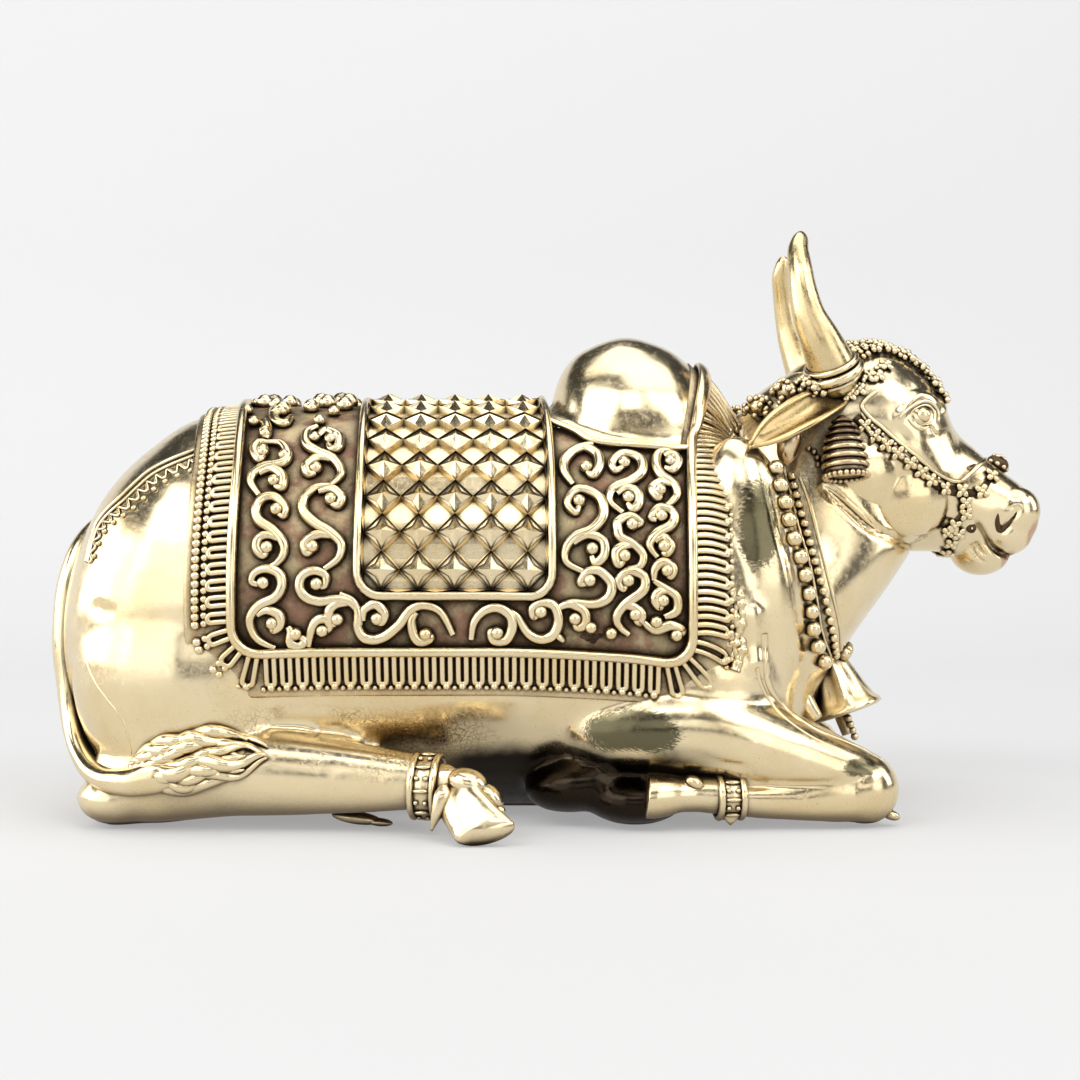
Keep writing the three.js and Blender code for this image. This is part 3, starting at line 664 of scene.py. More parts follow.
body_bm = bmesh.new()
barrel.loft(body_bm, 60, 56)
hump.loft(body_bm, 26, 36)
neck.loft(body_bm, 30, 36)
for side in (-1, 1):
    egg(body_bm, (-63, side * 17, 26), (23, 18, 25), 0.1, detail=36)
    limb(body_bm, [[-79, 24.6, 5.4, 4.2, 6.0], [-66, 26, 8.6, 7.4, 8], [-52, 28, 9.8, 7, 7.8],
                   [-36, 30.6, 9.2, 5.2, 6.4], [-19, 33.6, 8.6, 4, 4.4]], side=side)
    egg(body_bm, (-75.4, side * 25, 4.9), (7.5, 7.6, 4.9), 0, detail=24)
    egg(body_bm, (-68.5, side * 26, 6.8), (10, 7.2, 6.4), 0, detail=24)
    egg(body_bm, (36, side * 19.5, 44), (10, 9.5, 25), 0.12, detail=30)
    egg(body_bm, (55.2, side * 25.8, 6.5), (6.2, 6.1, 6.4), 0.2, detail=28)
    egg(body_bm, (15, side * 25, 4.6), (9, 9, 4.5), 0, detail=24)
    egg(body_bm, (5.5, side * 23, 7.0), (10, 8.5, 5.0), 0.15, detail=24)
    egg(body_bm, (26, side * 19, 26), (17, 13, 20), 0.5, detail=30)
    limb(body_bm, [[2.2, 21, 16.8, 4.4, 4.2], [10, 23.6, 16.6, 8.6, 7.2], [24, 25, 17.2, 9.4, 8.8],
                   [40, 25.4, 13.2, 8.2, 7.2], [50, 25.4, 9.4, 6.8, 6.2], [56, 25.2, 7.4, 5.2, 5.2],
                   [60.6, 25, 6.4, 2.2, 2.6]], 30, side=side)
    limb(body_bm, [[59.6, 25.2, 5.4, 2.6, 2.6], [52, 26.6, 5.2, 5.2, 4.5], [42, 27.6, 5.3, 4.8, 4.1],
                   [34, 28.2, 5.5, 4.3, 3.7], [30.6, 28.4, 5.6, 4.1, 3.5]], side=side)
body = fuse(piece_of("bull_body", body_bm), BODY_GRAIN, 9)

# Creases of the casting: buttock, under the shoulder, along the forearm, hock
carve(body, [(752, 600), (754, 630), (755, 650), (757, 674)], 1.7, -0.9)
carve(body, [(640, 783), (690, 783), (740, 785), (800, 785), (850, 782), (872, 776)], 0.75, 0.75)
carve(body, [(683, 750), (700, 756), (724, 764), (750, 767)], 0.7, 0.45)
carve(body, [(93, 604), (104, 611), (114, 609)], 1.1, 0.35)
carve(body, [(726, 606), (724, 640), (727, 672)], 0.7, 0.5)

# Head

head_form = Form("x", [
    [46, 66, 75, 82, 9],
    [50, 58, 74, 84.8, 12.5],
    [56, 52, 73, 86.4, 14.4],
    [62, 49, 72, 87.2, 14.6],
    [67, 48, 70, 85.6, 14],
    [71, 47.8, 67, 82.8, 12.4],
    [74.5, 47.8, 62, 78.6, 10.6],
    [77.5, 46.8, 59, 71.6, 9.2],
    [81.5, 47, 56.5, 67.8, 8.4],
    [85.5, 48, 55.5, 64.4, 8.2],
    [89.5, 48.6, 54.6, 61.4, 7.8],
    [92.2, 50, 54.6, 59.2, 6.4],
    [93.6, 52.6, 54.8, 57.2, 3],
])
head_bm = bmesh.new()
head_form.loft(head_bm, 60, 48)
egg(head_bm, (87.6, 0, 55.2), (6.3, 8.6, 5.6), -0.3, detail=30)
egg(head_bm, (83.0, 0, 47.9), (5.7, 5.6, 4.7), -0.1, detail=30)
for side in (-1, 1):
    egg(head_bm, (66, side * 6.6, 58.6), (10, 6.9, 9.6), 0.2, detail=30)
    egg(head_bm, (57.5, side * 7.8, 63), (9.5, 7.6, 9.5), 0.5, detail=30)
    egg(head_bm, (88.6, side * 4.4, 55.4), (4.6, 4.4, 4.8), -0.4, detail=24)
    egg(head_bm, (87.6, side * 2.8, 51.8), (4.7, 4.8, 4.7), 0, detail=24)
head = fuse(piece_of("bull_head", head_bm), HEAD_GRAIN, 9)

# Carved on the head: mouth, nostril, folds of the lower lip, temple, brow, lids, the hollow under the garland
carve(head, [(974, 519), (979, 525), (984.6, 534.6), (990.4, 545), (999, 552.5), (1007, 556.5), (1017, 557)],
      0.42, 1.0)
carve(head, [(991, 546), (996, 550.5), (1002, 554.5)], 0.5, 0.5)
carve(head, [(980, 541), (985, 548), (993, 556), (1003, 561)], 0.5, -0.35)
NOSTRIL = [(1015.5, 504), (1016.5, 512), (1011, 521), (1004, 528), (999.5, 529), (997.4, 522), (998, 512)]
carve(head, NOSTRIL, 0.8, 0.55)
carve(head, [(972, 543), (974, 552), (981, 560), (987, 563)], 0.28, 0.45)
carve(head, [(976, 541), (979, 549), (986, 556)], 0.28, 0.45)
carve(head, [(845, 430), (870, 436), (893, 437), (910, 428)], 3.0, 0.4)
carve(head, [(897, 421), (903.5, 409.5), (910.6, 400.6), (919.6, 395), (928, 396), (935, 401), (940, 409)],
      0.7, -0.5)
carve(head, [(939, 391), (942.5, 402), (944.5, 415)], 0.5, -0.5)
carve(head, [(931, 426), (934, 430.5), (938, 434.4)], 0.28, 0.5)
carve(head, [(914, 416), (917, 421.5), (923.5, 424), (930, 421.5), (932.5, 414), (929, 407), (921, 405.5),
             (915, 410)], 0.34, 0.35)
carve(head, [(912, 365), (922, 370), (930, 377), (937, 386), (941, 396)], 0.75, 0.7)
carve(head, [(938, 430), (946, 450), (958, 470)], 2.2, 0.4)
JAW_LINE = [(823, 484), (838, 496), (852, 508), (866, 521), (880, 532), (905, 540), (928, 537), (936, 526)]
for form in (body, head):
    carve(form, JAW_LINE, 0.7, 0.6)
    carve(form, [(824, 487), (838, 500), (852, 514), (866, 525), (881, 533)], 0.75, 0.65)

head_skin = Skin(head)
body_skin = Skin(body)
whole_skin = Skin(head, body)

# Eyes: a lens between two lids
eye_bm = bmesh.new()
lens = head_skin.touch(923.6, 414.6, -0.25)
for side in (-1, 1):
    egg(eye_bm, (lens.x, -side * lens.y, lens.z), (1.5, 1.15, 1.36), 0, 0, 26)
lids = [head_skin.trace([(899, 418.5), (906.2, 411), (916.9, 403.4), (923.2, 401), (929.5, 402),
                         (935.4, 407.5), (938.2, 414.6), (938.6, 422)], 0.05, 26),
        head_skin.trace([(908, 419), (913, 424.5), (919.6, 428.4), (925, 428), (930.5, 425)], 0.05, 18),
        head_skin.trace([(909.5, 414), (914, 409.4), (921.4, 405.4), (926.8, 405.2), (931.8, 408.4),
                         (934, 413.5), (933.5, 419)], 0.05, 18),
        head_skin.trace([(912, 417.6), (916.4, 422.2), (922, 425), (927.5, 424.6), (932, 421.5)], 0.0, 16)]
lid_radii = [swelling(26, 0.16, 0.34), swelling(18, 0.12, 0.3), swelling(18, 0.1, 0.2),
             swelling(16, 0.08, 0.14)]
eyes = merged("eyes", piece_of("lenses", eye_bm), strands("lids", lids + mirrored(lids), lid_radii * 2))

# Horns and ears

HORN = [
    [78.4, 53, 11, 4.2],
    [81, 52.4, 13, 4.4],
    [84.1, 50.9, 14.1, 4.1],
    [86.6, 49.6, 14.8, 3.75],
    [92, 47.2, 15.2, 2.9],
    [98, 46.2, 14.4, 2.4],
    [103, 46, 12.4, 2.0],
    [105.6, 46.6, 11, 1.55],
    [106.9, 46.9, 10.3, 0.8],
    [107.3, 47, 10.1, 0.12],
]
LEFT_HORN_FORWARD, LEFT_HORN_SHORTER = 2.2, 0.7


def horn_at(z, side):
    x, y, r = between(HORN, z)[0]
    rise = (z - HORN[0][0]) / (HORN[-1][0] - HORN[0][0]) if side > 0 else 0
    return Vector((x + LEFT_HORN_FORWARD * sin(pi * rise), side * y, z - LEFT_HORN_SHORTER * rise)), r


def rings_along(places, radii, around=24, flat=1.0):
    """Rings of points square to a path."""
    places = np.asarray([tuple(p) for p in places], float)
    way = np.gradient(places, axis=0)
    way /= np.linalg.norm(way, axis=1, keepdims=True) + 1e-9
    turn = np.linspace(0, 2 * pi, around, endpoint=False)
    rings = []
    for place, along, r in zip(places, way, radii):
        across = np.cross(along, [1, 0, 0])
        across /= np.linalg.norm(across) + 1e-9
        up = np.cross(along, across)
        rings.append(place + np.outer(r * np.cos(turn), across) + np.outer(r * flat * np.sin(turn), up))
    return rings


horn_bm = bmesh.new()
for side in (-1, 1):
    heights = 78.4 + 28.9 * (1 - (1 - np.linspace(0, 1, 34)) ** 1.25)
    rows = [horn_at(z, side) for z in heights]
    loft(horn_bm, rings_along([p for p, _ in rows], [r for _, r in rows]))
horns = piece_of("horns", horn_bm)


def ring_round(centre, axis, r, count=28, flat=1.0):
    """A closed loop round an axis."""
    axis = Vector(axis).normalized()
    across = axis.cross(Vector((0, 0, 1)) if abs(axis.z) < 0.9 else Vector((1, 0, 0))).normalized()
    up = across.cross(axis)
    turn = np.linspace(0, 2 * pi, count, endpoint=False)
    return [Vector(centre) + across * r * cos(t) + up * r * flat * sin(t) for t in turn]


collar_loops, collar_radii = [], []
for side in (-1, 1):
    way = horn_at(84.5, side)[0] - horn_at(79.5, side)[0]
    for z, grow, thick in ((80.9, 0.55, 0.85), (82.3, 0.35, 0.55), (79.6, 0.2, 0.5)):
        collar_loops.append(ring_round(horn_at(z, side)[0], way, horn_at(z, side)[1] + grow, 36))
        collar_radii.append(thick)
horn_collars = strands("horn_collars", collar_loops, collar_radii, detail=3, closed=True)

ear_bm = bmesh.new()
ear_rims = [[], [], [], []]
EAR = [[0, 2.0, 1.6], [0.15, 2.6, 1.6], [0.4, 2.9, 1.4], [0.65, 2.6, 1.2], [0.85, 1.7, 0.9], [1, 0.25, 0.35]]
for side in (-1, 1):
    root, tip = Vector((53.5, side * 13.2, 76.8)), Vector((35.4, side * 24.8, 66.4))
    along = (tip - root).normalized()
    face = Vector((0.25, side * 0.74, 0.62))
    face = (face - along * face.dot(along)).normalized()
    across = along.cross(face)
    rings = []
    for t in np.linspace(0, 1, 26):
        half, thick = between(EAR, t)[0]
        middle = root.lerp(tip, t) + face * 1.2 * sin(pi * t)
        dish = 1.9 * sin(pi * min(1, t * 1.1)) ** 0.8
        upper = [middle + across * half * u + face * (0.35 - dish * (1 - u * u))
                 for u in np.linspace(1, -1, 11)]
        lower = [middle + across * half * u
                 + face * (-0.15 - (thick + 0.5) * (1 - u * u) - dish * 0.6 * (1 - u * u))
                 for u in np.linspace(-1, 1, 11)[1:-1]]
        rings.append([tuple(p) for p in upper + lower])
        for edge, place in ((0, upper[0]), (1, upper[-1])):
            ear_rims[edge + (2 if side > 0 else 0)].append(place)
    loft(ear_bm, rings)
rim_radius = [0.25 + 0.42 * sin(pi * (k + 1) / 28) for k in range(26)]
ears = merged("ears", piece_of("ear_leaves", ear_bm),
              strands("ear_rims", ear_rims, [rim_radius] * 4, detail=3))

# Saddle cloth

STEPS = 241
X_TABLE = np.arange(-66.0, 36.01, 0.5)
ANGLES = np.linspace(0, pi, STEPS)
WALKED = np.array([np.concatenate([[0], np.cumsum(np.linalg.norm(
    np.diff(barrel.raw(np.full(STEPS, x), ANGLES), axis=0), axis=1))]) for x in X_TABLE])


def draped(x, angle):
    p = barrel.raw(x, angle)
    rise = np.where((x > -4) & (x < 35), between(HUMP_RISE, x)[:, 0], 0)
    p[:, 2] += np.where(np.cos(angle) > 0, rise * np.exp(-((p[:, 1] / SPINE_WIDTH) ** 2)), 0)
    return p


def angle_at(x, s):
    """The angle round the barrel at a distance s down from the spine."""
    column = np.clip((x - X_TABLE[0]) / 0.5, 0, len(X_TABLE) - 1.001)
    i = column.astype(int)
    f = column - i
    angle = np.empty(len(x))
    for k in np.unique(i):
        here = i == k
        a = np.interp(np.abs(s[here]), WALKED[k], ANGLES)
        b = np.interp(np.abs(s[here]), WALKED[k + 1], ANGLES)
        angle[here] = a + (b - a) * f[here]
    return angle * np.sign(s)


def laid(x, s):
    """Points of the barrel at x and s, and the ways out of it. Right side of the bull: positive s."""
    x = x + between(SPREAD, x)[:, 0] * np.exp(-((s / SPREAD_REACH) ** 2))
    angle = -angle_at(x, s)
    p = draped(x, angle)
    along = draped(x + 0.2, angle) - draped(x - 0.2, angle)
    around = draped(x, angle + 0.02) - draped(x, angle - 0.02)
    normal = np.cross(along, around)
    normal /= np.linalg.norm(normal, axis=1, keepdims=True)
    outward = p - np.stack([x, 0 * x, 0 * x + 40], 1)
    return p, normal * np.sign((outward * normal).sum(1, keepdims=True))


# How far the hump stands out of the barrel, over x and s
SWELL_X, SWELL_S, SWELL_STEP = -6.0, 48.0, 0.75
hump_bm = bmesh.new()
hump.loft(hump_bm, 40, 48)
hump_tree = BVHTree.FromBMesh(hump_bm)
hump_bm.free()
swell_rows = np.arange(SWELL_X, 40, SWELL_STEP)
swell_columns = np.arange(0, SWELL_S + 0.1, SWELL_STEP)
swell = np.zeros((len(swell_rows), len(swell_columns)))
for i, row_x in enumerate(swell_rows):
    for j, (place, way) in enumerate(zip(*laid(np.full(len(swell_columns), row_x), swell_columns))):
        place, way = Vector(place), Vector(way)
        hit = hump_tree.ray_cast(place + way * 26, -way)
        if hit[0]:
            swell[i, j] = max(0, 25.8 - hit[3])
for _ in range(4):
    padded = np.pad(swell, 1, mode="edge")
    beside = padded[:-2, 1:-1] + padded[2:, 1:-1] + padded[1:-1, :-2] + padded[1:-1, 2:]
    swell = (beside + 2 * padded[1:-1, 1:-1]) / 6
fade_x = np.clip((swell_rows - SWELL_X - 1) / 3, 0, 1)
swell *= fade_x[:, None] * np.clip((SWELL_S - 4 - swell_columns) / 8, 0, 1)


def swelled(x, s):
    i = np.clip((x - SWELL_X) / SWELL_STEP, 0, len(swell_rows) - 1.001)
    j = np.clip(np.abs(s) / SWELL_STEP, 0, len(swell_columns) - 1.001)
    a, b = i.astype(int), j.astype(int)
    f, g = i - a, j - b
    extra = (swell[a, b] * (1 - f) * (1 - g) + swell[a + 1, b] * f * (1 - g)
             + swell[a, b + 1] * (1 - f) * g + swell[a + 1, b + 1] * f * g)
    p, normal = laid(x, s)
    return p + normal * (extra * (x > SWELL_X))[:, None], normal


def cloth(x, s, lift):
    """Points of the cloth at x and s, lifted off what it lies on."""
    x, s, lift = (np.array(v, float) for v in np.broadcast_arrays(x, s, lift))
    p, normal = swelled(x, s)
    near = (x > SWELL_X) & (np.abs(s) < SWELL_S)
    if near.any():
        along = swelled(x[near] + 0.4, s[near])[0] - swelled(x[near] - 0.4, s[near])[0]
        around = swelled(x[near], s[near] + 0.4)[0] - swelled(x[near], s[near] - 0.4)[0]
        turned = np.cross(along, around)
        turned /= np.linalg.norm(turned, axis=1, keepdims=True)
        normal[near] = turned * np.sign((turned * normal[near]).sum(1, keepdims=True))
    return p + normal * lift[:, None]


def lay(piece):
    """Bends a piece that was made flat, in (x, s, lift), over the barrel."""
    flat = points_of(piece)
    set_points(piece, cloth(flat[:, 0], flat[:, 1], flat[:, 2]))
    return piece


DOWN = np.linspace(0.5, 78, 156)


def on_cloth(px, py):
    """The (x, s) of the cloth that a pixel of the photograph shows."""
    x, y, s = 0.0, -30.0, 30.0
    for _ in range(8):
        scale = FOCAL_PX / (y - EYE_Y)
        seen_x = EYE_X + (px - CENTRE_PX) / scale
        z = EYE_Z + (CENTRE_PX - py) / scale
        x = seen_x - between(SPREAD, seen_x)[0, 0] * np.exp(-((s / SPREAD_REACH) ** 2))
        places = cloth(np.full(len(DOWN), x), DOWN, 1.2)
        s = float(np.interp(-z, -places[:, 2], DOWN))
        y = float(np.interp(s, DOWN, places[:, 1]))
    return x, s


def level(x, s, beside):
    """The s at which the cloth at x looks as high as it does at the place beside it."""
    heights = []
    for places in (cloth([beside[0]], abs(beside[1]), 1.0), cloth(np.full(len(DOWN), x), DOWN, 1.0)):
        heights.append((places[:, 2] - EYE_Z) / (places[:, 1] - EYE_Y))
    found = float(np.interp(-heights[0][0], -heights[1], DOWN))
    share = min(max((abs(s) - 12) / 10, 0), 1)
    return (abs(s) + min(max(found - abs(s), -6), 6) * share) * (1 if s > 0 else -1)


def frame_walk(corner, pitch, rear=FRAME_REAR, front=FRAME_FRONT, drop=FRAME_DROP):
    """Places round a rounded rectangle in x and s at a pitch, each with its way out."""
    middle, half = (front + rear) / 2, (front - rear) / 2 - corner
    centres = [(middle + a * half, b * (drop - corner)) for a, b in ((1, 1), (-1, 1), (-1, -1), (1, -1))]
    places = []
    for k, (x, s) in enumerate(centres):
        count = max(3, round(corner * pi / 2 / pitch))
        for j in range(count):
            t = (k + (j + 0.5) / count) * pi / 2
            places.append((x + corner * cos(t), s + corner * sin(t), cos(t), sin(t)))
        t = (k + 1) * pi / 2
        nx, ns = centres[(k + 1) % 4]
        start = (x + corner * cos(t), s + corner * sin(t))
        end = (nx + corner * cos(t), ns + corner * sin(t))
        count = round(hypot(end[0] - start[0], end[1] - start[1]) / pitch)
        for j in range(count):
            f = (j + 0.5) / count
            places.append((start[0] + (end[0] - start[0]) * f, start[1] + (end[1] - start[1]) * f,
                           cos(t), sin(t)))
    return places


# Ground of the cloth: a thin shell inside the frame, and a smooth under-cloth that reaches past the fringe
ground_bm = bmesh.new()
bmesh.ops.create_grid(ground_bm, x_segments=117, y_segments=192, size=1,
                      matrix=Matrix.Translation(((FRAME_FRONT + FRAME_REAR) / 2, 0, GROUND_LIFT))
                      @ Matrix.Diagonal(((FRAME_FRONT - FRAME_REAR) / 2, FRAME_DROP, 1, 1)))
HUMP_FOOT = [(545, 420), (558, 424), (575, 431), (590, 440), (612, 444), (640, 446), (668, 448), (690, 448)]
foot_line = np.array(sorted(on_cloth(px, py) for px, py in HUMP_FOOT))
bare = [face for face in ground_bm.faces if face.calc_center_median().x > PANEL_FRONT + 1.6
        and abs(face.calc_center_median().y) < np.interp(face.calc_center_median().x, *foot_line.T) - 0.4]
bmesh.ops.delete(ground_bm, geom=bare, context="FACES")
ground = lay(piece_of("cloth_ground", ground_bm))

under_bm = bmesh.new()
outline = []
for x, s, nx, ns in frame_walk(CORNER, 1.6):
    squarer = (abs(nx) ** 5 + abs(ns) ** 5) ** -0.2
    beyond = FRINGE_REAR + 1.6 if nx < 0 else FRINGE_FRONT + 0.2
    outline.append((x + nx * beyond * squarer, s + ns * (FRINGE_FOOT + 1.6) * squarer))
inner = [(x - nx * 1.5, s - ns * 1.5) for x, s, nx, ns in frame_walk(CORNER, 1.6)]
rows = []
for f, lift in ((0.0, -1.2), (0.0, 0.25), (0.02, 0.55), (0.06, 0.62), (0.12, 0.5), (0.3, 0.42), (0.6, 0.4),
                (1.0, 0.35), (1.0, -1.2)):
    rows.append([(a[0] + (b[0] - a[0]) * f, a[1] + (b[1] - a[1]) * f, lift) for a, b in zip(outline, inner)])
loft(under_bm, rows, closed=True)
under_cloth = lay(piece_of("under_cloth", under_bm))

# Frame rolls
frame_path = [(x, s, ROLL_LIFT) for x, s, _, _ in frame_walk(CORNER, 1.2)]
panel_path = [(x, s, ROLL_LIFT)
              for x, s, _, _ in frame_walk(4.0, 1.2, PANEL_REAR - 1, PANEL_FRONT + 1, PANEL_DROP + 2.1)]
rolls = lay(strands("frame_rolls", [frame_path, panel_path], [0.86, 0.78], detail=3, closed=True))

# Fringe: hairpin cords in pairs with drops at their ends; two rows of drops behind
fringe_paths = []
drops_bm = bmesh.new()
drop_places = []
for x, s, nx, ns in frame_walk(CORNER, 2 * RIB_PITCH):
    rear = nx < -0.7
    reach = (FRINGE_REAR if nx < 0 else FRINGE_FRONT) * nx * nx + FRINGE_FOOT * ns * ns
    tip = reach * (0.62 if rear else 0.88)
    tx, ts = -ns, nx
    splay = 1.0 + 0.9 * abs(nx * ns) * 2
    half = RIB_PITCH / 2
    leg = [(out, half * (1 + (splay - 1) * out / reach)) for out in np.linspace(0.1, tip - half, 6)]
    wide = leg[-1][1]
    bend = [(leg[-1][0] + wide * 0.9 * cos(a), wide * sin(a)) for a in np.linspace(pi / 2, -pi / 2, 7)[1:-1]]
    shape = leg + bend + [(out, -w) for out, w in leg[::-1]]
    path = [(x + nx * out + tx * w, s + ns * out + ts * w, 0.78) for out, w in shape]
    shift = 0.0
    if nx > 0.5 and abs(s) > 12:
        shift = (level(x + 4 * nx, s, (x, s)) - s) / 4 * (nx - 0.5) / 0.5
        path = [(a, b + shift * (a - x), c) for a, b, c in path]
    fringe_paths.append(path)
    if rear:
        for share, r in ((0.7, 0.66), (0.92, 0.8)):
            for w in (-half, half):
                drop_places.append((x + nx * reach * share + tx * w, s + ns * reach * share + ts * w,
                                    0.75, r))
    else:
        drop_places.append((x + nx * reach * 0.93, s + ns * reach * 0.93 + shift * nx * reach, 0.9, 0.66))
        drop_places.append((x + nx * reach * 0.98 + tx * half * 2,
                            s + ns * reach * 0.98 + ts * half * 2 + shift * nx * reach, 0.6, 0.5))
fringe = lay(strands("fringe", fringe_paths, [0.54] * len(fringe_paths), detail=1))
drop_rows = np.array(drop_places)
for place, r in zip(cloth(*drop_rows.T[:3]), drop_rows[:, 3]):
    ball(drops_bm, place, r, 2)
fringe_drops = piece_of("fringe_drops", drops_bm)

# Diamond panel: a net of squares on their points, pyramids in one half of it and framed pits in the other
half_x = (PANEL_FRONT - PANEL_REAR) / DIAMOND_COLUMNS / 2
half_s = DIAMOND_S / 2
panel_bm = bmesh.new()


def diamond(bm, x, s):
    """A flat square on its point, cut off where it would pass under the roll of the panel."""
    corners = [(x + half_x, s), (x, s + half_s), (x - half_x, s), (x, s - half_s)]
    verts = []
    for a, b in corners:
        a = min(max(a, PANEL_REAR - 0.6), PANEL_FRONT + 0.6)
        b = min(max(b, -PANEL_DROP - 1.5), PANEL_DROP + 1.5)
        verts.append(bm.verts.new((a, b, SEAM_LIFT)))
    return bm.faces.new(verts)


def set_height(faces, height):
    for face in faces:
        for vert in face.verts:
            vert.co.z = height


peaks, pits = [], []
for j in range(-DIAMOND_ROWS, DIAMOND_ROWS + 1):
    for i in range(DIAMOND_COLUMNS):
        peaks.append(diamond(panel_bm, PANEL_REAR + half_x * (2 * i + 1), j * DIAMOND_S))
for j in range(-DIAMOND_ROWS - 1, DIAMOND_ROWS + 1):
    for i in range(DIAMOND_COLUMNS + 1):
        pits.append(diamond(panel_bm, PANEL_REAR + half_x * 2 * i, (j + 0.5) * DIAMOND_S))
bmesh.ops.inset_individual(panel_bm, faces=pits, thickness=RIDGE_WIDTH, depth=0)
set_height(pits, RIDGE_LIFT)
pit_sides = bmesh.ops.inset_individual(panel_bm, faces=pits, thickness=SIDE_WIDTH, depth=0)["faces"]
set_height(pits, FLOOR_LIFT)
poked = bmesh.ops.poke(panel_bm, faces=peaks)
for vert in poked["verts"]:
    vert.co.z = PEAK_LIFT
for vert in bmesh.ops.poke(panel_bm, faces=poked["faces"])["verts"]:
    vert.co.z -= DENT
for faces, index in ((pits, 1), (pit_sides, 2)):
    for face in faces:
        face.material_index = index
bmesh.ops.remove_doubles(panel_bm, verts=panel_bm.verts, dist=0.02)
bmesh.ops.subdivide_edges(panel_bm, edges=[e for e in panel_bm.edges if e.calc_length() > 1.9], cuts=1)
panel = lay(piece_of("diamond_panel", panel_bm))

# Scrolls, read on enlarged parts of the photograph. A row is a path and, where it curls in, its heart.
FRONT_SCROLLS = [
    ([(1110, 265), (1040, 290), (995, 335), (992, 385), (1030, 440)], None),
    ([(1020, 310), (1075, 283), (1130, 310), (1140, 360), (1115, 400), (1090, 385)], (1085, 368)),
    ([(1055, 525), (1040, 560), (1005, 520), (1040, 465), (1090, 465), (1145, 500), (1158, 570), (1110, 630),
      (1040, 660), (1000, 710), (1000, 770), (1070, 810)], (1055, 512)),
    ([(1030, 690), (1090, 655), (1155, 680), (1160, 740), (1125, 775), (1108, 745)], (1110, 715)),
    ([(1095, 860), (1060, 860), (1090, 815), (1140, 810), (1190, 860), (1180, 920), (1120, 950), (1020, 945),
      (960, 970)], (1100, 850)),
    ([(960, 970), (1015, 950), (1075, 980), (1080, 1030), (1050, 1050), (1035, 1030)], (1037, 1012)),
    ([(1240, 362), (1210, 380), (1195, 350), (1240, 310), (1310, 330), (1320, 385), (1270, 425), (1200, 455),
      (1185, 510), (1240, 560)], (1245, 350)),
    ([(1215, 480), (1255, 455), (1300, 475), (1305, 520), (1280, 545), (1262, 520)], (1262, 497)),
    ([(1290, 618), (1315, 600), (1270, 575), (1220, 600), (1218, 630), (1230, 665), (1290, 700), (1325, 745),
      (1310, 790), (1260, 800)], (1278, 612)),
    ([(1290, 700), (1250, 700), (1210, 730), (1220, 780), (1245, 765)], (1247, 745)),
    ([(1255, 865), (1240, 885), (1222, 850), (1265, 812), (1325, 830), (1325, 890), (1250, 950), (1215, 1000),
      (1225, 1045), (1265, 1080)], (1262, 850)),
    ([(1225, 985), (1260, 955), (1315, 985), (1310, 1025), (1290, 1015)], (1292, 995)),
    ([(1480, 290), (1400, 300), (1380, 350), (1400, 400), (1455, 440), (1465, 490), (1425, 530)], None),
    ([(1412, 320), (1450, 312), (1472, 345), (1448, 378), (1415, 368)], (1440, 345)),
    ([(1445, 440), (1400, 430), (1365, 460), (1385, 495), (1398, 482)], (1395, 465)),
    ([(1380, 590), (1360, 580), (1395, 540), (1450, 560), (1445, 610), (1380, 650), (1352, 700), (1385, 750)],
     (1400, 575)),
    ([(1375, 685), (1410, 665), (1440, 700), (1420, 735), (1410, 722)], (1412, 705)),
    ([(1370, 850), (1375, 800), (1410, 772), (1450, 795), (1440, 830), (1425, 820)], (1425, 808)),
    ([(1370, 850), (1420, 885), (1465, 920), (1465, 980), (1415, 1005)], None),
    ([(1450, 900), (1400, 895), (1375, 925), (1390, 960), (1408, 950)], (1408, 935)),
    ([(1325, 1025), (1375, 1060), (1440, 1040), (1490, 1060), (1475, 1082)], (1465, 1082)),
    ([(40, 908), (95, 935), (118, 985), (118, 1050), (150, 1095), (215, 1095), (290, 1040), (340, 975),
      (400, 955), (470, 985), (520, 1080)], None),
    ([(140, 1020), (145, 975), (190, 950), (228, 985), (220, 1025), (200, 1025)], (198, 1012)),
    ([(365, 985), (345, 1020), (355, 1080), (385, 1110), (425, 1095), (415, 1080)], (405, 1078)),
    ([(598, 1100), (610, 1030), (650, 980), (710, 965), (765, 1000), (770, 1060), (740, 1105), (695, 1105),
      (680, 1070), (700, 1065)], (708, 1072)),
    ([(735, 970), (790, 1000), (835, 1070), (890, 1100), (945, 1080), (968, 1020), (950, 960), (905, 945),
      (860, 965), (862, 1005), (885, 990)], (893, 983)),
    ([(950, 1070), (990, 1110)], None),
]
FRONT_KNOBS = [(1380, 1025), (1105, 1050), (1190, 1075)]
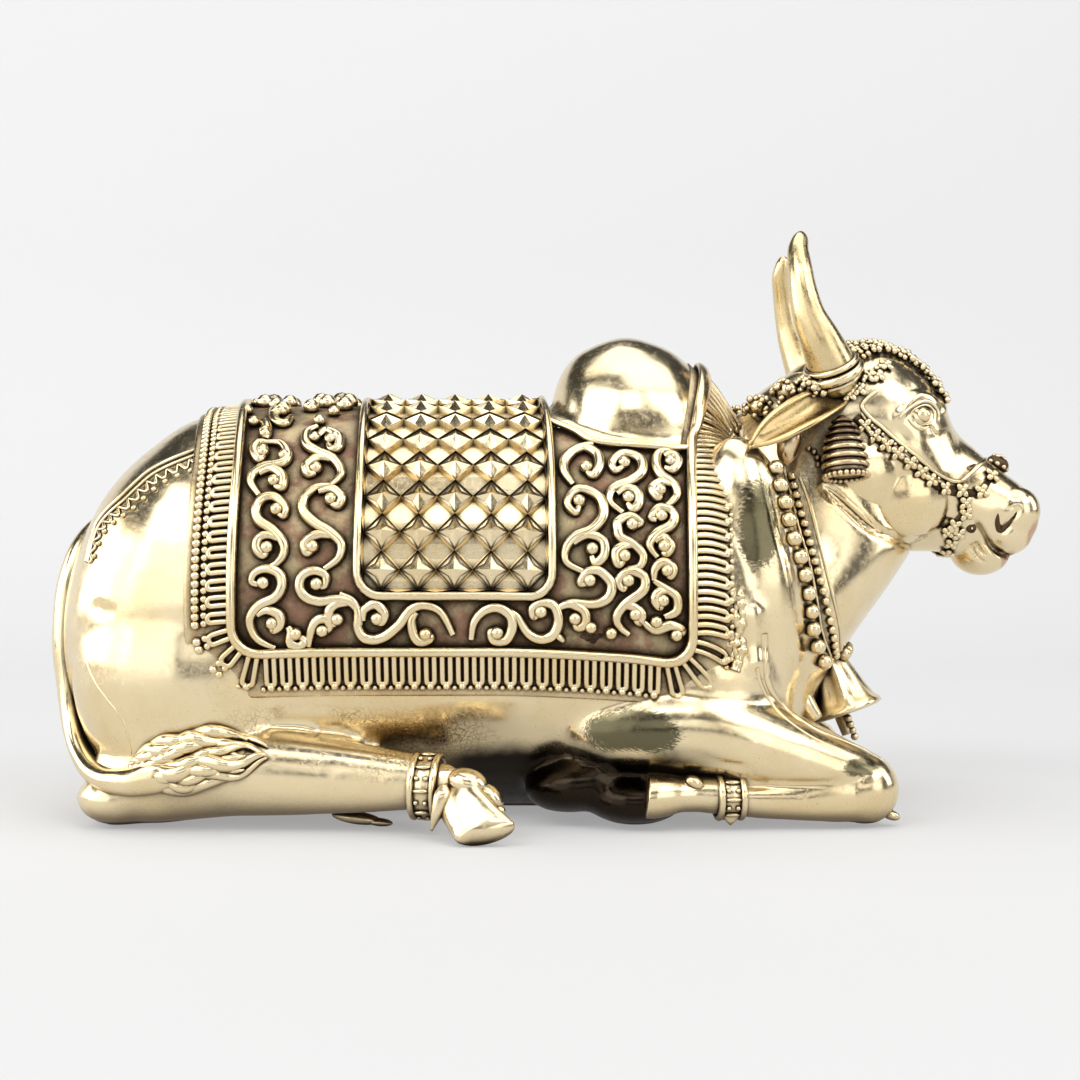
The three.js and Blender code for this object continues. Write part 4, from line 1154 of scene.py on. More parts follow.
REAR_SCROLLS = [
    ([(440, 360), (510, 365), (545, 420), (520, 465), (430, 485), (370, 520), (360, 570), (400, 630)], None),
    ([(440, 360), (395, 365), (375, 405), (400, 450), (425, 425)], (420, 405)),
    ([(400, 520), (460, 495), (515, 530), (515, 590), (480, 580)], (475, 560)),
    ([(500, 725), (525, 735), (530, 690), (480, 640), (420, 645), (385, 700), (400, 760), (460, 800),
      (515, 860), (525, 920), (490, 975), (440, 1000)], (488, 705)),
    ([(510, 860), (450, 835), (400, 850), (388, 900), (420, 935), (440, 915)], (440, 897)),
    ([(395, 1085), (362, 1070), (380, 1025), (440, 1005), (500, 1030), (515, 1090), (480, 1150), (400, 1190),
      (355, 1250), (360, 1310), (400, 1370), (480, 1410)], (421, 1077)),
    ([(390, 1240), (440, 1215), (500, 1240), (505, 1290), (475, 1315), (462, 1298)], (465, 1282)),
    ([(690, 280), (640, 310), (640, 370), (700, 410), (780, 450), (815, 520), (760, 580)], None),
    ([(700, 330), (740, 300), (800, 330), (800, 385), (765, 395), (750, 370)], (760, 350)),
    ([(770, 450), (700, 440), (640, 480), (650, 520), (685, 515)], (688, 495)),
    ([(700, 610), (770, 600), (815, 640), (800, 680), (765, 672)], (762, 652)),
    ([(760, 580), (690, 590), (630, 640), (625, 710), (680, 770), (760, 820), (815, 880), (800, 950),
      (730, 1005)], None),
    ([(780, 840), (700, 830), (635, 870), (640, 920), (668, 912)], (670, 893)),
    ([(705, 1095), (730, 1090), (735, 1040), (680, 1015), (620, 1040), (605, 1100), (640, 1150), (710, 1170),
      (790, 1160), (860, 1175), (905, 1230), (910, 1290)], (690, 1082)),
    ([(850, 1180), (790, 1185), (755, 1220), (765, 1280), (792, 1280)], (795, 1262)),
    ([(650, 1400), (660, 1330), (690, 1270), (740, 1260), (755, 1300), (730, 1330)], (720, 1320)),
    ([(545, 1300), (560, 1330), (560, 1380), (600, 1400), (630, 1370), (600, 1350)], (585, 1335)),
    ([(375, 250), (430, 265), (440, 310), (430, 345)], (430, 310)),
    ([(510, 180), (470, 200), (480, 250), (530, 265), (560, 230)], (510, 210)),
]
REAR_KNOBS = [(723, 146), (663, 191), (777, 209), (704, 254), (783, 341), (681, 341), (386, 154), (445, 136),
              (340, 204), (481, 216), (374, 261), (431, 322),
              (420, 415), (527, 431)]

scroll_paths, scroll_radii, hearts = [], [], []
for origin, scroll_rows, knobs in ((FRONT_ZOOM, FRONT_SCROLLS, FRONT_KNOBS),
                                   (REAR_ZOOM, REAR_SCROLLS, REAR_KNOBS)):
    for places, heart in scroll_rows:
        flat = curve_through([on_cloth(*place) for place in zoomed(*places, origin=origin)], 7 * len(places))
        last = len(flat) - 1
        scroll_paths.append([(x, s, 0.95) for x, s in flat])
        thick = 0.62 if len(places) < 4 else 0.97
        scroll_radii.append([thick * (0.38 + 0.62 * sin(pi * min(max(k / last, 0.04), 0.96)) ** 0.6)
                             for k in range(last + 1)])
        if heart:
            hearts.append((*on_cloth(*zoomed(heart, origin=origin)[0]), 1.2, 1.14))
    hearts += [(*on_cloth(*place), 1.2, 1.1) for place in zoomed(*knobs, origin=origin)]
# Knobs along the spine, where the vines run up over the back
SPINE_KNOBS = [(-50.6, 4, 1.55), (-48.2, 8.5, 1.3), (-49.6, 0, 1.7), (-46.4, 2.5, 1.35), (-46.8, 12, 1.4),
               (-41.0, 1.5, 1.7), (-37.6, 0, 1.9), (-35.8, 4.5, 1.6),
               (-39.4, 6.5, 1.5), (-36.2, 9.5, 1.45), (-42.0, 10.5, 1.3)]
hearts += [(x, s, 1.2, r + 0.2) for x, s, r in SPINE_KNOBS]
flip = [[(x, -s, lift) for x, s, lift in path] for path in scroll_paths]
scrolls = lay(strands("scrolls", scroll_paths + flip, scroll_radii * 2, detail=2))
balls_bm = bmesh.new()
seeds = np.array(hearts + [(x, -s, lift, r) for x, s, lift, r in hearts])
for place, r in zip(cloth(*seeds.T[:3]), seeds[:, 3]):
    ball(balls_bm, place, r, 2)
scroll_hearts = piece_of("scroll_hearts", balls_bm)

# Rolled edge along the foot of the hump
foot_path = [(x, s, 1.3) for x, s in curve_through([on_cloth(px, py) for px, py in HUMP_FOOT], 40)]
# A flaw that the casting left open by the lower vine
flaw_bm = bmesh.new()
flaw_at = on_cloth(592, 637)
for dx, ds, r in ((-1.5, 0.1, 0.7), (-0.6, 0.3, 0.9), (0.4, 0.1, 1.0), (1.3, -0.2, 0.7), (0.2, 0.8, 0.7)):
    place = cloth([flaw_at[0] + dx], flaw_at[1] + ds, 0.25)[0]
    egg(flaw_bm, place, (r, 0.35, r * 0.8), 0, 0, 14)
for side in (-1, 1):
    corner = head_skin.touch(971.3, 527.8, 0.05)
    egg(flaw_bm, (corner.x, -side * corner.y, corner.z), (0.95, 0.3, 1.0), 0, 0, 16)
flaw = piece_of("casting_flaw", flaw_bm)
hump_edge = lay(strands("hump_edge", [foot_path, [(x, -s, lift) for x, s, lift in foot_path]], [0.62, 0.62],
                        detail=2))

# Tail and tuft

tail_bm = bmesh.new()
TAIL = [
    [-78.0, -1.5, 56, 1.6, 1.4], [-84.6, -4.5, 52.6, 3.0, 2.2], [-87.6, -8.5, 46.5, 3.9, 2.6],
        [-88.6, -11, 39, 4.3, 2.7], [-88.8, -12, 31.5, 4.2, 2.6],
    [-88.0, -13, 23.5, 3.8, 2.3], [-86.2, -16.2, 16, 3.2, 2.0], [-83.2, -21.2, 11.6, 2.6, 1.9],
        [-79.6, -26.8, 9.4, 2.2, 1.9], [-75.4, -31.4, 8.6, 2.1, 2.1],
    [-71.4, -33.8, 8.8, 2.2, 2.5], [-67.4, -34.8, 9.6, 2.0, 2.8], [-63.6, -35.4, 10.2, 1.0, 2.0],
]
limb(tail_bm, TAIL, 90, 24)
tail = piece_of("tail", tail_bm)

TUFT_TOP = [(134, 762), (146, 752), (164, 741), (184, 735), (206, 731), (232, 731), (252, 737), (268, 748)]
TUFT_LOW = [(134, 768), (148, 778), (164, 787), (184, 790), (204, 786), (226, 781), (248, 774), (268, 762)]
locks, lock_radii = [], []
top, low = curve_through(TUFT_TOP, 44), curve_through(TUFT_LOW, 44)
for k in range(11):
    f = (k + 0.5) / 11
    swing = 2.6 * (1 + 0.5 * sin(2.3 * k))
    wave = [(top[i] * (1 - f) + low[i] * f)
            + np.array([0, swing * sin(i * (0.42 + 0.05 * sin(1.7 * k)) + 1.3 * k)]) for i in range(44)]
    reach = 44 - int(9 * abs(sin(k * 2.1)))
    path = []
    for i in range(reach):
        p = body_skin.touch(*wave[i], 0)
        bulge = (2.2 * sin(pi * f) ** 0.6 * sin(pi * min(0.96, (i + 4) / 48)) ** 0.5
                 + 0.5 * sin(i * 0.5 + 2 * k))
        path.append(Vector((p.x, p.y - bulge, p.z)))
    locks.append(path)
    lock_radii.append([max(0.15, (1.3 + 0.25 * sin(k * 1.3))
                           * sin(pi * min(0.985, (i + 8) / (reach + 8))) ** 0.7) for i in range(reach)])
tuft_bm = bmesh.new()
heart_of_tuft = body_skin.touch(204, 760, -1.0)
egg(tuft_bm, heart_of_tuft, (10.5, 2.6, 4.3), 0.06, 0.1, 30)
tuft = merged("tail_tuft", piece_of("tuft_core", tuft_bm), strands("tuft_locks", locks, lock_radii, detail=2))

# Feet and anklets


def foot(bm, rows, side, around=26):
    """Rings [centre, half width and its way, half height and its way] bridged into a foot."""
    turn = np.linspace(0, 2 * pi, around, endpoint=False)
    rings = []
    rows_in = np.array([[i, *c, *(w * np.array(u)), *(h * np.array(v))]
                        for i, (c, w, u, h, v) in enumerate(rows)], float)
    for t in np.linspace(0, len(rows) - 1, 5 * len(rows)):
        row = between(rows_in, t)[0]
        ring_points = row[:3] + np.outer(np.cos(turn), row[3:6]) + np.outer(np.sin(turn), row[6:9])
        rings.append(ring_points * [1, -side, 1])
    loft(bm, rings)


feet_bm = bmesh.new()
for side in (-1, 1):
    # Hind foot: two lobes of the pastern, then the hoof with its sole turned out
    foot(feet_bm, [
        ((-22.0, -33.6, 8.2), 4.0, (0.1, -0.9, 0.0), 4.2, (0, 0, 1)),
        ((-17.6, -35.4, 8.4), 3.9, (0.3, -0.85, 0.1), 3.7, (0.1, 0, 1)),
        ((-15.6, -38.4, 7.2), 3.8, (0.85, -0.4, 0.3), 3.5, (0.1, -0.2, 1)),
        ((-14.0, -41.0, 5.6), 4.1, (0.97, -0.1, 0.25), 3.1, (0.1, -0.25, 0.95)),
        ((-12.0, -43.2, 3.6), 4.6, (0.97, -0.05, 0.23), 2.7, (0.08, -0.25, 0.95)),
        ((-10.7, -44.5, 2.5), 5.0, (0.97, 0, 0.22), 2.2, (0.05, -0.25, 0.95)),
        ((-10.2, -45.1, 2.15), 4.6, (0.97, 0, 0.22), 1.85, (0.05, -0.2, 0.95)),
    ], -side)
    egg(feet_bm, (-13.6, side * 38.4, 9.4), (3.6, 3.0, 2.4), -0.3, 0, 20)
    egg(feet_bm, (-9.9, side * 38.6, 7.2), (2.7, 2.4, 1.7), -0.75, 0, 18)
    egg(feet_bm, (-8.4, side * 39.6, 4.9), (1.1, 1.1, 1.0), 0, 0, 14)
    # Dewclaw under the shank
    egg(feet_bm, (-33.6, side * 27.6, 1.6), (4.4, 1.8, 1.1), -0.14, 0, 18)
    egg(feet_bm, (-29.6, side * 27.9, 0.9), (2.4, 1.2, 0.7), -0.1, 0, 16)
    # Fore foot: pastern, a notch above the hoof, and a flat sole turned to the rear
    foot(feet_bm, [
        ((33.0, -28.2, 5.6), 4.1, (0, 1, 0), 3.6, (0, 0, 1)),
        ((28.6, -28.6, 5.9), 3.9, (0, 1, 0), 3.4, (0, 0, 1)),
        ((25.2, -29.0, 6.1), 3.7, (0, 1, 0), 3.2, (0, 0, 1)),
        ((23.2, -29.2, 6.1), 4.0, (0, 1, 0), 3.2, (0, 0, 1)),
        ((20.6, -29.5, 6.0), 4.8, (0, 1, 0), 3.75, (0.08, 0, 1)),
        ((18.2, -29.8, 5.9), 5.2, (0, 1, 0), 4.05, (0.1, 0, 1)),
        ((17.0, -29.9, 5.85), 5.2, (0, 1, 0), 4.05, (0.1, 0, 1)),
        ((16.6, -29.9, 5.85), 4.7, (0, 1, 0), 3.6, (0.1, 0, 1)),
    ], -side)
    egg(feet_bm, (25.0, side * 31.6, 8.4), (1.8, 1.4, 1.1), -0.5, 0, 16)
    egg(feet_bm, (59.8, side * 26.6, 1.9), (1.7, 1.1, 0.9), -0.3, 0, 14)
feet = piece_of("feet", feet_bm)


def anklet(place, axis, r, width, flat):
    """A band between two rolled rims, with raised rungs."""
    place, axis = Vector(place), Vector(axis).normalized()
    bm = bmesh.new()
    loops = []
    for f, grow in ((-1, -0.6), (-0.9, 0.15), (0.9, 0.15), (1, -0.6)):
        loops.append([tuple(p) for p in ring_round(place + axis * width * f, axis, r + grow, 32, flat)])
    loft(bm, loops)
    across = axis.cross(Vector((0, 0, 1))).normalized()
    up = across.cross(axis)
    for k in range(16):
        t = 2 * pi * k / 16
        way = across * cos(t) + up * flat * sin(t)
        at = place + way * (r + 0.3)
        if k % 2:
            for f in (-0.42, 0.42):
                ball(bm, at + axis * width * f, 0.5, 1)
        else:
            egg(bm, at, (width * 0.75, 0.55, 0.42), 0, atan2(axis.y, axis.x), 10)
    rims = strands("rims", [ring_round(place + axis * width * f, axis, r + 0.12, 32, flat) for f in (-1, 1)],
                   [0.62, 0.62], closed=True)
    return merged("anklet", piece_of("band", bm), rims)


anklets = []
for side in (-1, 1):
    anklets.append(anklet((-20.8, side * 33.4, 8.0), (0.98, side * 0.16, -0.03), 4.9, 1.9, 1.04))
    anklets.append(anklet((31.2, side * 28.4, 5.6), (0.99, -side * 0.08, 0.0), 4.25, 1.9, 0.86))
pendant_bm = bmesh.new()
for side in (-1, 1):
    foot(pendant_bm, [((-17.6, -39.4, 9.4), 0.5, (1, 0, 0), 0.5, (0, 1, 0)),
                      ((-17.8, -40.4, 7.6), 1.5, (1, 0.1, 0.1), 0.7, (0, 1, 0)),
                      ((-18.6, -40.6, 4.8), 1.1, (1, 0.1, 0.1), 0.65, (0, 1, 0)),
                      ((-19.6, -40.0, 1.7), 0.2, (1, 0, 0), 0.3, (0, 1, 0))], -side, 12)
    foot(pendant_bm, [((31.2, -31.2, 2.6), 1.6, (1, 0, 0), 0.5, (0, 1, 0)),
                      ((31.2, -31.0, 1.7), 0.9, (1, 0, 0), 0.5, (0, 1, 0)),
                      ((31.2, -30.8, 0.9), 0.15, (1, 0, 0), 0.2, (0, 1, 0))], -side, 12)
anklets = merged("anklets", *anklets, piece_of("pendants", pendant_bm))

# Necklaces, folds and chest bell

BIG_BEADS = [(772.7, 469.7), (777.6, 486.7), (782.4, 503.6), (786, 520.6), (791, 538.8), (797, 557),
             (801.3, 575), (804.7, 593.3),
             (807.9, 611.5), (810.3, 628.5), (815.2, 645.5), (821.2, 660)]
SMALL_BEADS = [(791, 472), (795, 490), (799, 508), (804.5, 527), (809.5, 546), (815, 565), (820.5, 584),
               (825, 603), (829, 622),
               (832.5, 640), (834.5, 656)]
NECK_RIDGE = [(800, 478), (809, 501), (819, 540), (829, 580), (839, 622), (841, 650)]


neck_bm = bmesh.new()
for place in both_sides([body_skin.touch(px, py, 0.75) for px, py in BIG_BEADS]):
    ball(neck_bm, place, 1.42, 3)
small_path = body_skin.trace(SMALL_BEADS, 0.35, 60)
for path in [small_path] + mirrored([small_path]):
    bead_row(neck_bm, path, 0.82, 1.86, 2)
for y in (-9.5, -6.6, -3.6, 0, 3.6, 6.6, 9.5):
    ball(neck_bm, body_skin.near((60, y, 27.4 - 0.02 * y * y), 0.6), 1.35, 3)
neck_beads = piece_of("neck_beads", neck_bm)
ridge = body_skin.trace(NECK_RIDGE, -0.12, 40)
seat = body_skin.trace([(x + 11, y - 2) for x, y in BIG_BEADS], -0.1, 40)
neck_ridges = strands("neck_ridges", [ridge, seat] + mirrored([ridge, seat]), [0.42, 0.3] * 2)
carve(body, [(x + 12, y - 1) for x, y in BIG_BEADS], 0.8, 0.7)
carve(body, [(x - 9, y + 2) for x, y in BIG_BEADS], 0.6, 0.35)
carve(body, [(x - 7, y) for x, y in SMALL_BEADS], 0.5, 0.4)

fold_paths = [body_skin.trace([(764, 634), (766, 662), (769, 684), (780, 702), (798, 718), (818, 730),
                               (840, 739), (862, 748), (884, 760)], -0.3, 60),
              body_skin.trace([(757, 668), (762, 686), (774, 706), (793, 724), (815, 738), (838, 748),
                               (858, 757)], -0.2, 50)]
fold_radii = [[0.9 - 0.5 * k / 59 for k in range(60)], [0.5 - 0.25 * k / 49 for k in range(50)]]
for k, across in enumerate((-5, 0.5, 5.5)):
    fold_paths.append(body_skin.trace([(735 + across + 1.6 * sin(2.2 * j + k),
                                        598 + 10.5 * j - 2 * abs(across)) for j in range(8)], -0.25, 40))
    fold_radii.append([0.95 + 0.3 * sin(j * 0.5 + 2 * k) + 0.18 * sin(j * 1.3 + k) for j in range(40)])
# Parting line down the back of the thigh
fold_paths.append(body_skin.trace([(84, 655), (90, 672), (97, 686), (108, 701), (117, 712), (124, 724),
                                   (129, 740), (131, 755)], -0.12, 50))
fold_radii.append([0.26] * 50)
folds = strands("shoulder_folds", fold_paths + mirrored(fold_paths), fold_radii * 2, detail=3)

BELL_PLACE, BELL_TILT = (52.2, -5.2, 28.6), 0.34
BELL_PROFILE = [(-1.2, 1.4, 0), (-0.8, 2.6, 0), (0.6, 3.3, 0.02), (2.6, 3.5, 0.08), (5.4, 4.2, 0.10),
                (8.0, 5.0, 0.08), (10.0, 6.0, 0.03),
                (10.9, 6.9, 0), (11.5, 7.0, 0), (11.8, 6.5, 0), (11.2, 5.4, 0), (8.0, 3.6, 0), (3.0, 2.4, 0)]
bell_bm = bmesh.new()
bell_turn = (Matrix.Translation(Vector(BELL_PLACE)) @ Matrix.Rotation(-BELL_TILT, 4, "Y")
             @ Matrix.Rotation(-0.12, 4, "X"))
bell_rings = []
for drop, r, flute in BELL_PROFILE:
    spun = []
    for t in np.linspace(0, 2 * pi, 48, endpoint=False):
        wide = r * (1 + flute * cos(8 * t))
        spun.append(tuple(bell_turn @ Vector((wide * cos(t), wide * sin(t), -drop))))
    bell_rings.append(spun)
loft(bell_bm, bell_rings)
for k in range(8):
    t = 2 * pi * k / 8
    ball(bell_bm, bell_turn @ Vector((2.9 * cos(t), 2.9 * sin(t), 0.4)), 0.9, 2)
limb(bell_bm, [[45.4, 14.2, 23.2, 1.2, 1.4], [46.6, 14.6, 20.4, 1.7, 2.0], [48.6, 14.4, 17.0, 1.2, 1.8]], 12,
     14, -1)
limb(bell_bm, [[54.4, 5, 20, 1.4, 1.4], [55.6, 5.6, 16.4, 1.4, 1.4], [56.6, 6, 13.4, 1.2, 1.2]], 12, 14, -1)
for k in range(4):
    ball(bell_bm, (56.2 + 0.5 * k, -7.6 + 0.4 * k, 16.6 - 1.2 * k), 0.75, 2)
chest_bell = piece_of("chest_bell", bell_bm)

# Halter, garland and ear bells

def flower(bm, place, normal, size, turn=0.0, petals=4):
    """A flat star of petals round a small heart."""
    normal = Vector(normal).normalized()
    side_way = Vector((0, 0, 1)).cross(normal).normalized()
    up = normal.cross(side_way)
    ball(bm, Vector(place) + normal * size * 0.1, size * 0.42, 1)
    for k in range(petals):
        t = turn + 2 * pi * k / petals
        way = side_way * cos(t) + up * sin(t)
        across = normal.cross(way)
        place_of = Matrix.Translation(Vector(place) + way * size * 0.58)
        turned = Matrix((way, across, normal)).transposed().to_4x4()
        bmesh.ops.create_uvsphere(bm, u_segments=8, v_segments=5, radius=1,
                                  matrix=place_of @ turned
                                         @ Matrix.Diagonal((size * 0.6, size * 0.44, size * 0.3, 1)))


def outward(place):
    _, normal, _, _ = whole_skin.tree.find_nearest(Vector(place))
    return normal


CHEEK_RIDGE = zoomed((540, 400), (485, 440), (458, 487), (500, 545), (560, 592), (650, 672), (760, 762),
                     (850, 842), (920, 885), (975, 905),
                     (1020, 900), (1065, 860), (1110, 818), (1158, 778))
CHEEK_RIDGE_TWO = zoomed((452, 520), (490, 570), (550, 625), (640, 705), (745, 795), (840, 875), (930, 935))
CHEEK_STARS = zoomed((470, 590), (528, 648), (592, 700), (655, 745), (725, 800), (785, 848), (838, 900),
                     (915, 945))
CHEEK_DROPS = zoomed((512, 590), (572, 640), (640, 695), (700, 735), (760, 790), (815, 835), (880, 890))
NOSE_STARS = [(960.6, 490.5), (980.5, 491.8), (991, 476.5)]
STRAP = [(964.4, 503), (965, 513.6), (953.5, 524.5), (947.5, 531), (958, 533), (951.5, 542), (948.5, 551)]
GARLAND_STARS = zoomed((590, 262), (545, 322), (492, 322), (440, 395), (385, 425))
EAR_ROW = zoomed((120, 462), (200, 442), (262, 442), (330, 432), (395, 405), (450, 360), (500, 300),
                 (560, 270))
JAW_FLOURISH = [zoomed((240, 925), (330, 985), (410, 1050), (480, 1120), (560, 1190)),
                zoomed((300, 940), (380, 1010), (455, 1075), (540, 1150)),
                zoomed((330, 1040), (400, 1110), (460, 1165), (550, 1195))]

halter_paths = [head_skin.trace(CHEEK_RIDGE, 0.12, 90), head_skin.trace(CHEEK_RIDGE_TWO, 0.1, 60),
                whole_skin.trace(EAR_ROW, 0.15, 50)]
halter_radii = [0.42, 0.3, 0.32]
halter_paths += [whole_skin.trace(path, -0.12, 30) for path in JAW_FLOURISH]
halter_radii += [swelling(30, 0.12, 0.5), swelling(30, 0.1, 0.2), swelling(30, 0.1, 0.28)]
halter_cords = strands("halter_cords", halter_paths + mirrored(halter_paths), halter_radii * 2)
chain_paths = [whole_skin.trace([(855, 417), *CHEEK_STARS, (962, 492)], -1.0, 70),
               whole_skin.trace([(962, 492), (980, 492), (992, 474)], -0.95, 20),
               whole_skin.trace([(962, 496), (964, 512), (954, 526), (950, 540), (949, 552)], -0.85, 30),
               head_skin.trace(NOSTRIL, -0.4, 30)]
chain_ground = strands("halter_ground", chain_paths + mirrored(chain_paths),
                       [1.4, 1.25, swelling(30, 1.0, 0.35), swelling(30, 0.34, 0.52, 1.6)] * 2)
halter_bm = bmesh.new()
for group, size in ((CHEEK_STARS, 1.38), (NOSE_STARS, 1.45), (STRAP, 1.35), (GARLAND_STARS, 1.4)):
    for k, (px, py) in enumerate(group):
        for place in both_sides([whole_skin.touch(px, py, 0.6)]):
            flower(halter_bm, place, outward(place), size, pi / 4 + 0.25 * sin(2.2 * k))
for place in both_sides([whole_skin.touch(px, py, 0.35) for px, py in curve_through(EAR_ROW, 17)]):
    ball(halter_bm, place, 0.58, 2)
for px, py in CHEEK_DROPS:
    for place in both_sides([whole_skin.touch(px, py, 0.3)]):
        ball(halter_bm, place, 0.4, 2)
for place in both_sides([head_skin.touch(971.3, 527.6, 0.4)]):
    ball(halter_bm, place, 0.24, 2)
knob_bm = bmesh.new()
egg(knob_bm, (86.5, 0, 64.6), (2.2, 2.3, 1.7), -0.45)
nose_knob = piece_of("nose_knob", knob_bm)
for count, reach, r, x, z in ((9, 2.0, 0.55, 86.3, 64.4), (5, 1.05, 0.55, 86.9, 65.7),
                              (1, 0, 0.6, 87.1, 66.0)):
    for t in np.linspace(0.3, 0.3 + 2 * pi, count, endpoint=False):
        ball(halter_bm, (x + 0.9 * reach * cos(t), reach * sin(t), z - 0.45 * reach * cos(t)), r, 2)
garland_edge = [[0, 54, 0.95], [0.25, 59, 0.66], [0.5, 64.5, 0.5], [0.75, 69.6, 0.46], [1, 74.2, 0.6]]
rng = np.random.default_rng(4)
for f in np.linspace(0, 1, 19):
    x, edge = between(garland_edge, f)[0]
    count = max(3, round(edge * 13 / 1.1))
    for k in range(-count, count + 1):
        jitter = rng.uniform(-0.3, 0.3, 2)
        p = head_form.point(x + jitter[0], edge * k / count, 0.5 + 0.7 * rng.random())[0]
        ball(halter_bm, p, rng.uniform(0.5, 0.75), 2)
for side in (-1, 1):
    # Clusters behind the horns and at the nape
    for cx, cy, cz, reach, many in ((44.0, 13.2, 77.4, (3.0, 2.8, 2.6), 46),
                                    (38.8, 10.2, 74.6, (2.8, 3.4, 2.2), 40),
                                    (48.6, 15.4, 78.0, (2.6, 1.6, 1.8), 24)):
        for _ in range(many):
            way = rng.normal(size=3)
            way /= np.linalg.norm(way)
            at = np.array([cx, side * cy, cz]) + way * reach * rng.uniform(0.8, 1.0)
            ball(halter_bm, at, rng.uniform(0.45, 0.75), 2)
        egg(halter_bm, (cx, side * cy, cz), tuple(0.75 * r for r in reach), detail=14)
halter_flowers = piece_of("halter_flowers", halter_bm)

ear_bell_bm = bmesh.new()
ear_rings, ear_ring_radii = [], []
turn = np.linspace(0, 2 * pi, 28, endpoint=False)
for side in (-1, 1):
    top_place, foot_place = Vector((53.2, side * 16.4, 72.6)), Vector((53.6, side * 18.6, 61.6))
    axis = (foot_place - top_place).normalized()
    across = axis.cross(Vector((0, side, 0))).normalized()
    out_way = across.cross(axis)
    rings = []
    for f, r in ((0, 0.6), (0.06, 1.2), (0.2, 2.0), (0.35, 2.7), (0.5, 3.1), (0.7, 3.4), (0.9, 3.6),
                 (1, 3.2)):
        middle = top_place.lerp(foot_place, f)
        rings.append([middle + across * r * cos(t) + out_way * r * 0.8 * sin(t) for t in turn])
    loft(ear_bell_bm, rings)
    for f, r, thick in ((0.1, 1.7, 0.3), (0.2, 2.35, 0.32), (0.31, 2.95, 0.34), (0.43, 3.3, 0.38),
                        (0.56, 3.5, 0.5),
                        (0.7, 3.7, 0.55), (0.84, 3.85, 0.55)):
        middle = top_place.lerp(foot_place, f)
        ear_rings.append([middle + across * r * cos(t) + out_way * r * 0.8 * sin(t) for t in turn])
        ear_ring_radii.append(thick)
    for t in np.linspace(0, 2 * pi, 22, endpoint=False):
        ball(ear_bell_bm, foot_place + across * 3.8 * cos(t) + out_way * 3.1 * sin(t) + axis * 0.1, 0.6, 2)
    for px, py in zoomed((160, 722), (190, 742), (208, 775), (212, 812)):
        seen = whole_skin.touch(px, py, 0.6)
        ball(ear_bell_bm, (seen.x, side * abs(seen.y), seen.z), 0.6, 2)
    # Small cup that hangs under the ear
    limb(ear_bell_bm, [[44.2, 16.8, 70.2, 1.7, 1.3], [43.6, 17.6, 68.4, 2.8, 2.2],
                       [43.0, 17.8, 65.6, 2.2, 1.8], [42.5, 17.6, 63.4, 0.5, 0.5]], 14, 18, side)
ear_bells = merged("ear_bells", piece_of("ear_bell_cores", ear_bell_bm),
                   strands("ear_bell_rings", ear_rings, ear_ring_radii, closed=True))

collar_bm = bmesh.new()
for side in (-1, 1):
    p, r = horn_at(81.4, side)
    way = (horn_at(84, side)[0] - horn_at(79.5, side)[0]).normalized()
    for t in np.linspace(0, 2 * pi, 22, endpoint=False):
        across = way.cross(Vector((1, 0, 0))).normalized()
        up = across.cross(way)
        ball(collar_bm, p + (across * cos(t) + up * sin(t)) * (r + 0.75) - way * 0.9, 0.5, 2)
horn_beads = piece_of("horn_beads", collar_bm)

# Cord down the rump from the cloth to the tail, with scallops and drops under it
RUMP_CORD = [(203, 447), (188.5, 453), (170, 460.5), (151.5, 470), (136, 483), (120.8, 497.7), (107, 511),
             (97, 525), (91, 543), (87.5, 562)]
cord = body_skin.trace(RUMP_CORD, 0.1, 70)
rump_line = curve_through(RUMP_CORD, 220)
rump_way = np.gradient(rump_line, axis=0)
rump_way /= np.linalg.norm(rump_way, axis=1, keepdims=True)
rump_side = np.stack([rump_way[:, 1], -rump_way[:, 0]], 1)
narrowing = np.interp(np.arange(220), [0, 120, 219], [1, 0.95, 0.3])[:, None]
low_cord = [body_skin.touch(*place, 0.1) for place in rump_line + rump_side * 5 * narrowing]
scallop = rump_line + rump_side * narrowing * (11 + 3.4 * np.sin(np.arange(220) * 2 * pi / 15))[:, None]
wave = [body_skin.touch(*place, 0.1) for place in scallop]
cords = [cord, low_cord, wave]
rump_cords = strands("rump_cords", cords + mirrored(cords), [0.5, 0.4, 0.34] * 2)
rump_bm = bmesh.new()
drops = [body_skin.touch(*place, 0.15) for place in rump_line + rump_side * 18 * narrowing]
for path in [drops] + mirrored([drops]):
    bead_row(rump_bm, path, 0.5, 2.4, 2)
rump_drops = piece_of("rump_drops", rump_bm)

# Finish

shown = [(body, BODY), (head, HEAD), (eyes, POLISHED), (horns, HORN_BRASS), (horn_collars, CARVED),
         (ears, GOLDEN), (tail, POLISHED), (tuft, EDGING),
         (ground, CLOTH_GROUND), (under_cloth, FRINGE_GROUND), (rolls, CARVED), (fringe, EDGING),
         (fringe_drops, EDGING), (panel, (CARVED, PIT_FLOOR, PIT_SIDE)),
         (scrolls, CARVED), (scroll_hearts, CARVED), (hump_edge, CARVED), (flaw, DARKENED), (feet, POLISHED),
         (anklets, CARVED), (neck_beads, CARVED),
         (neck_ridges, CARVED), (folds, POLISHED), (chest_bell, CARVED), (halter_cords, POLISHED),
         (chain_ground, DARKENED), (nose_knob, DARKENED),
         (halter_flowers, CARVED), (ear_bells, EAR_BELL), (horn_beads, CARVED), (rump_cords, CARVED),
         (rump_drops, CARVED)]
for piece, material in shown:
    finish(piece, material, smooth=piece is not panel)
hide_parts("nandi_bull")

# Floor, light and camera


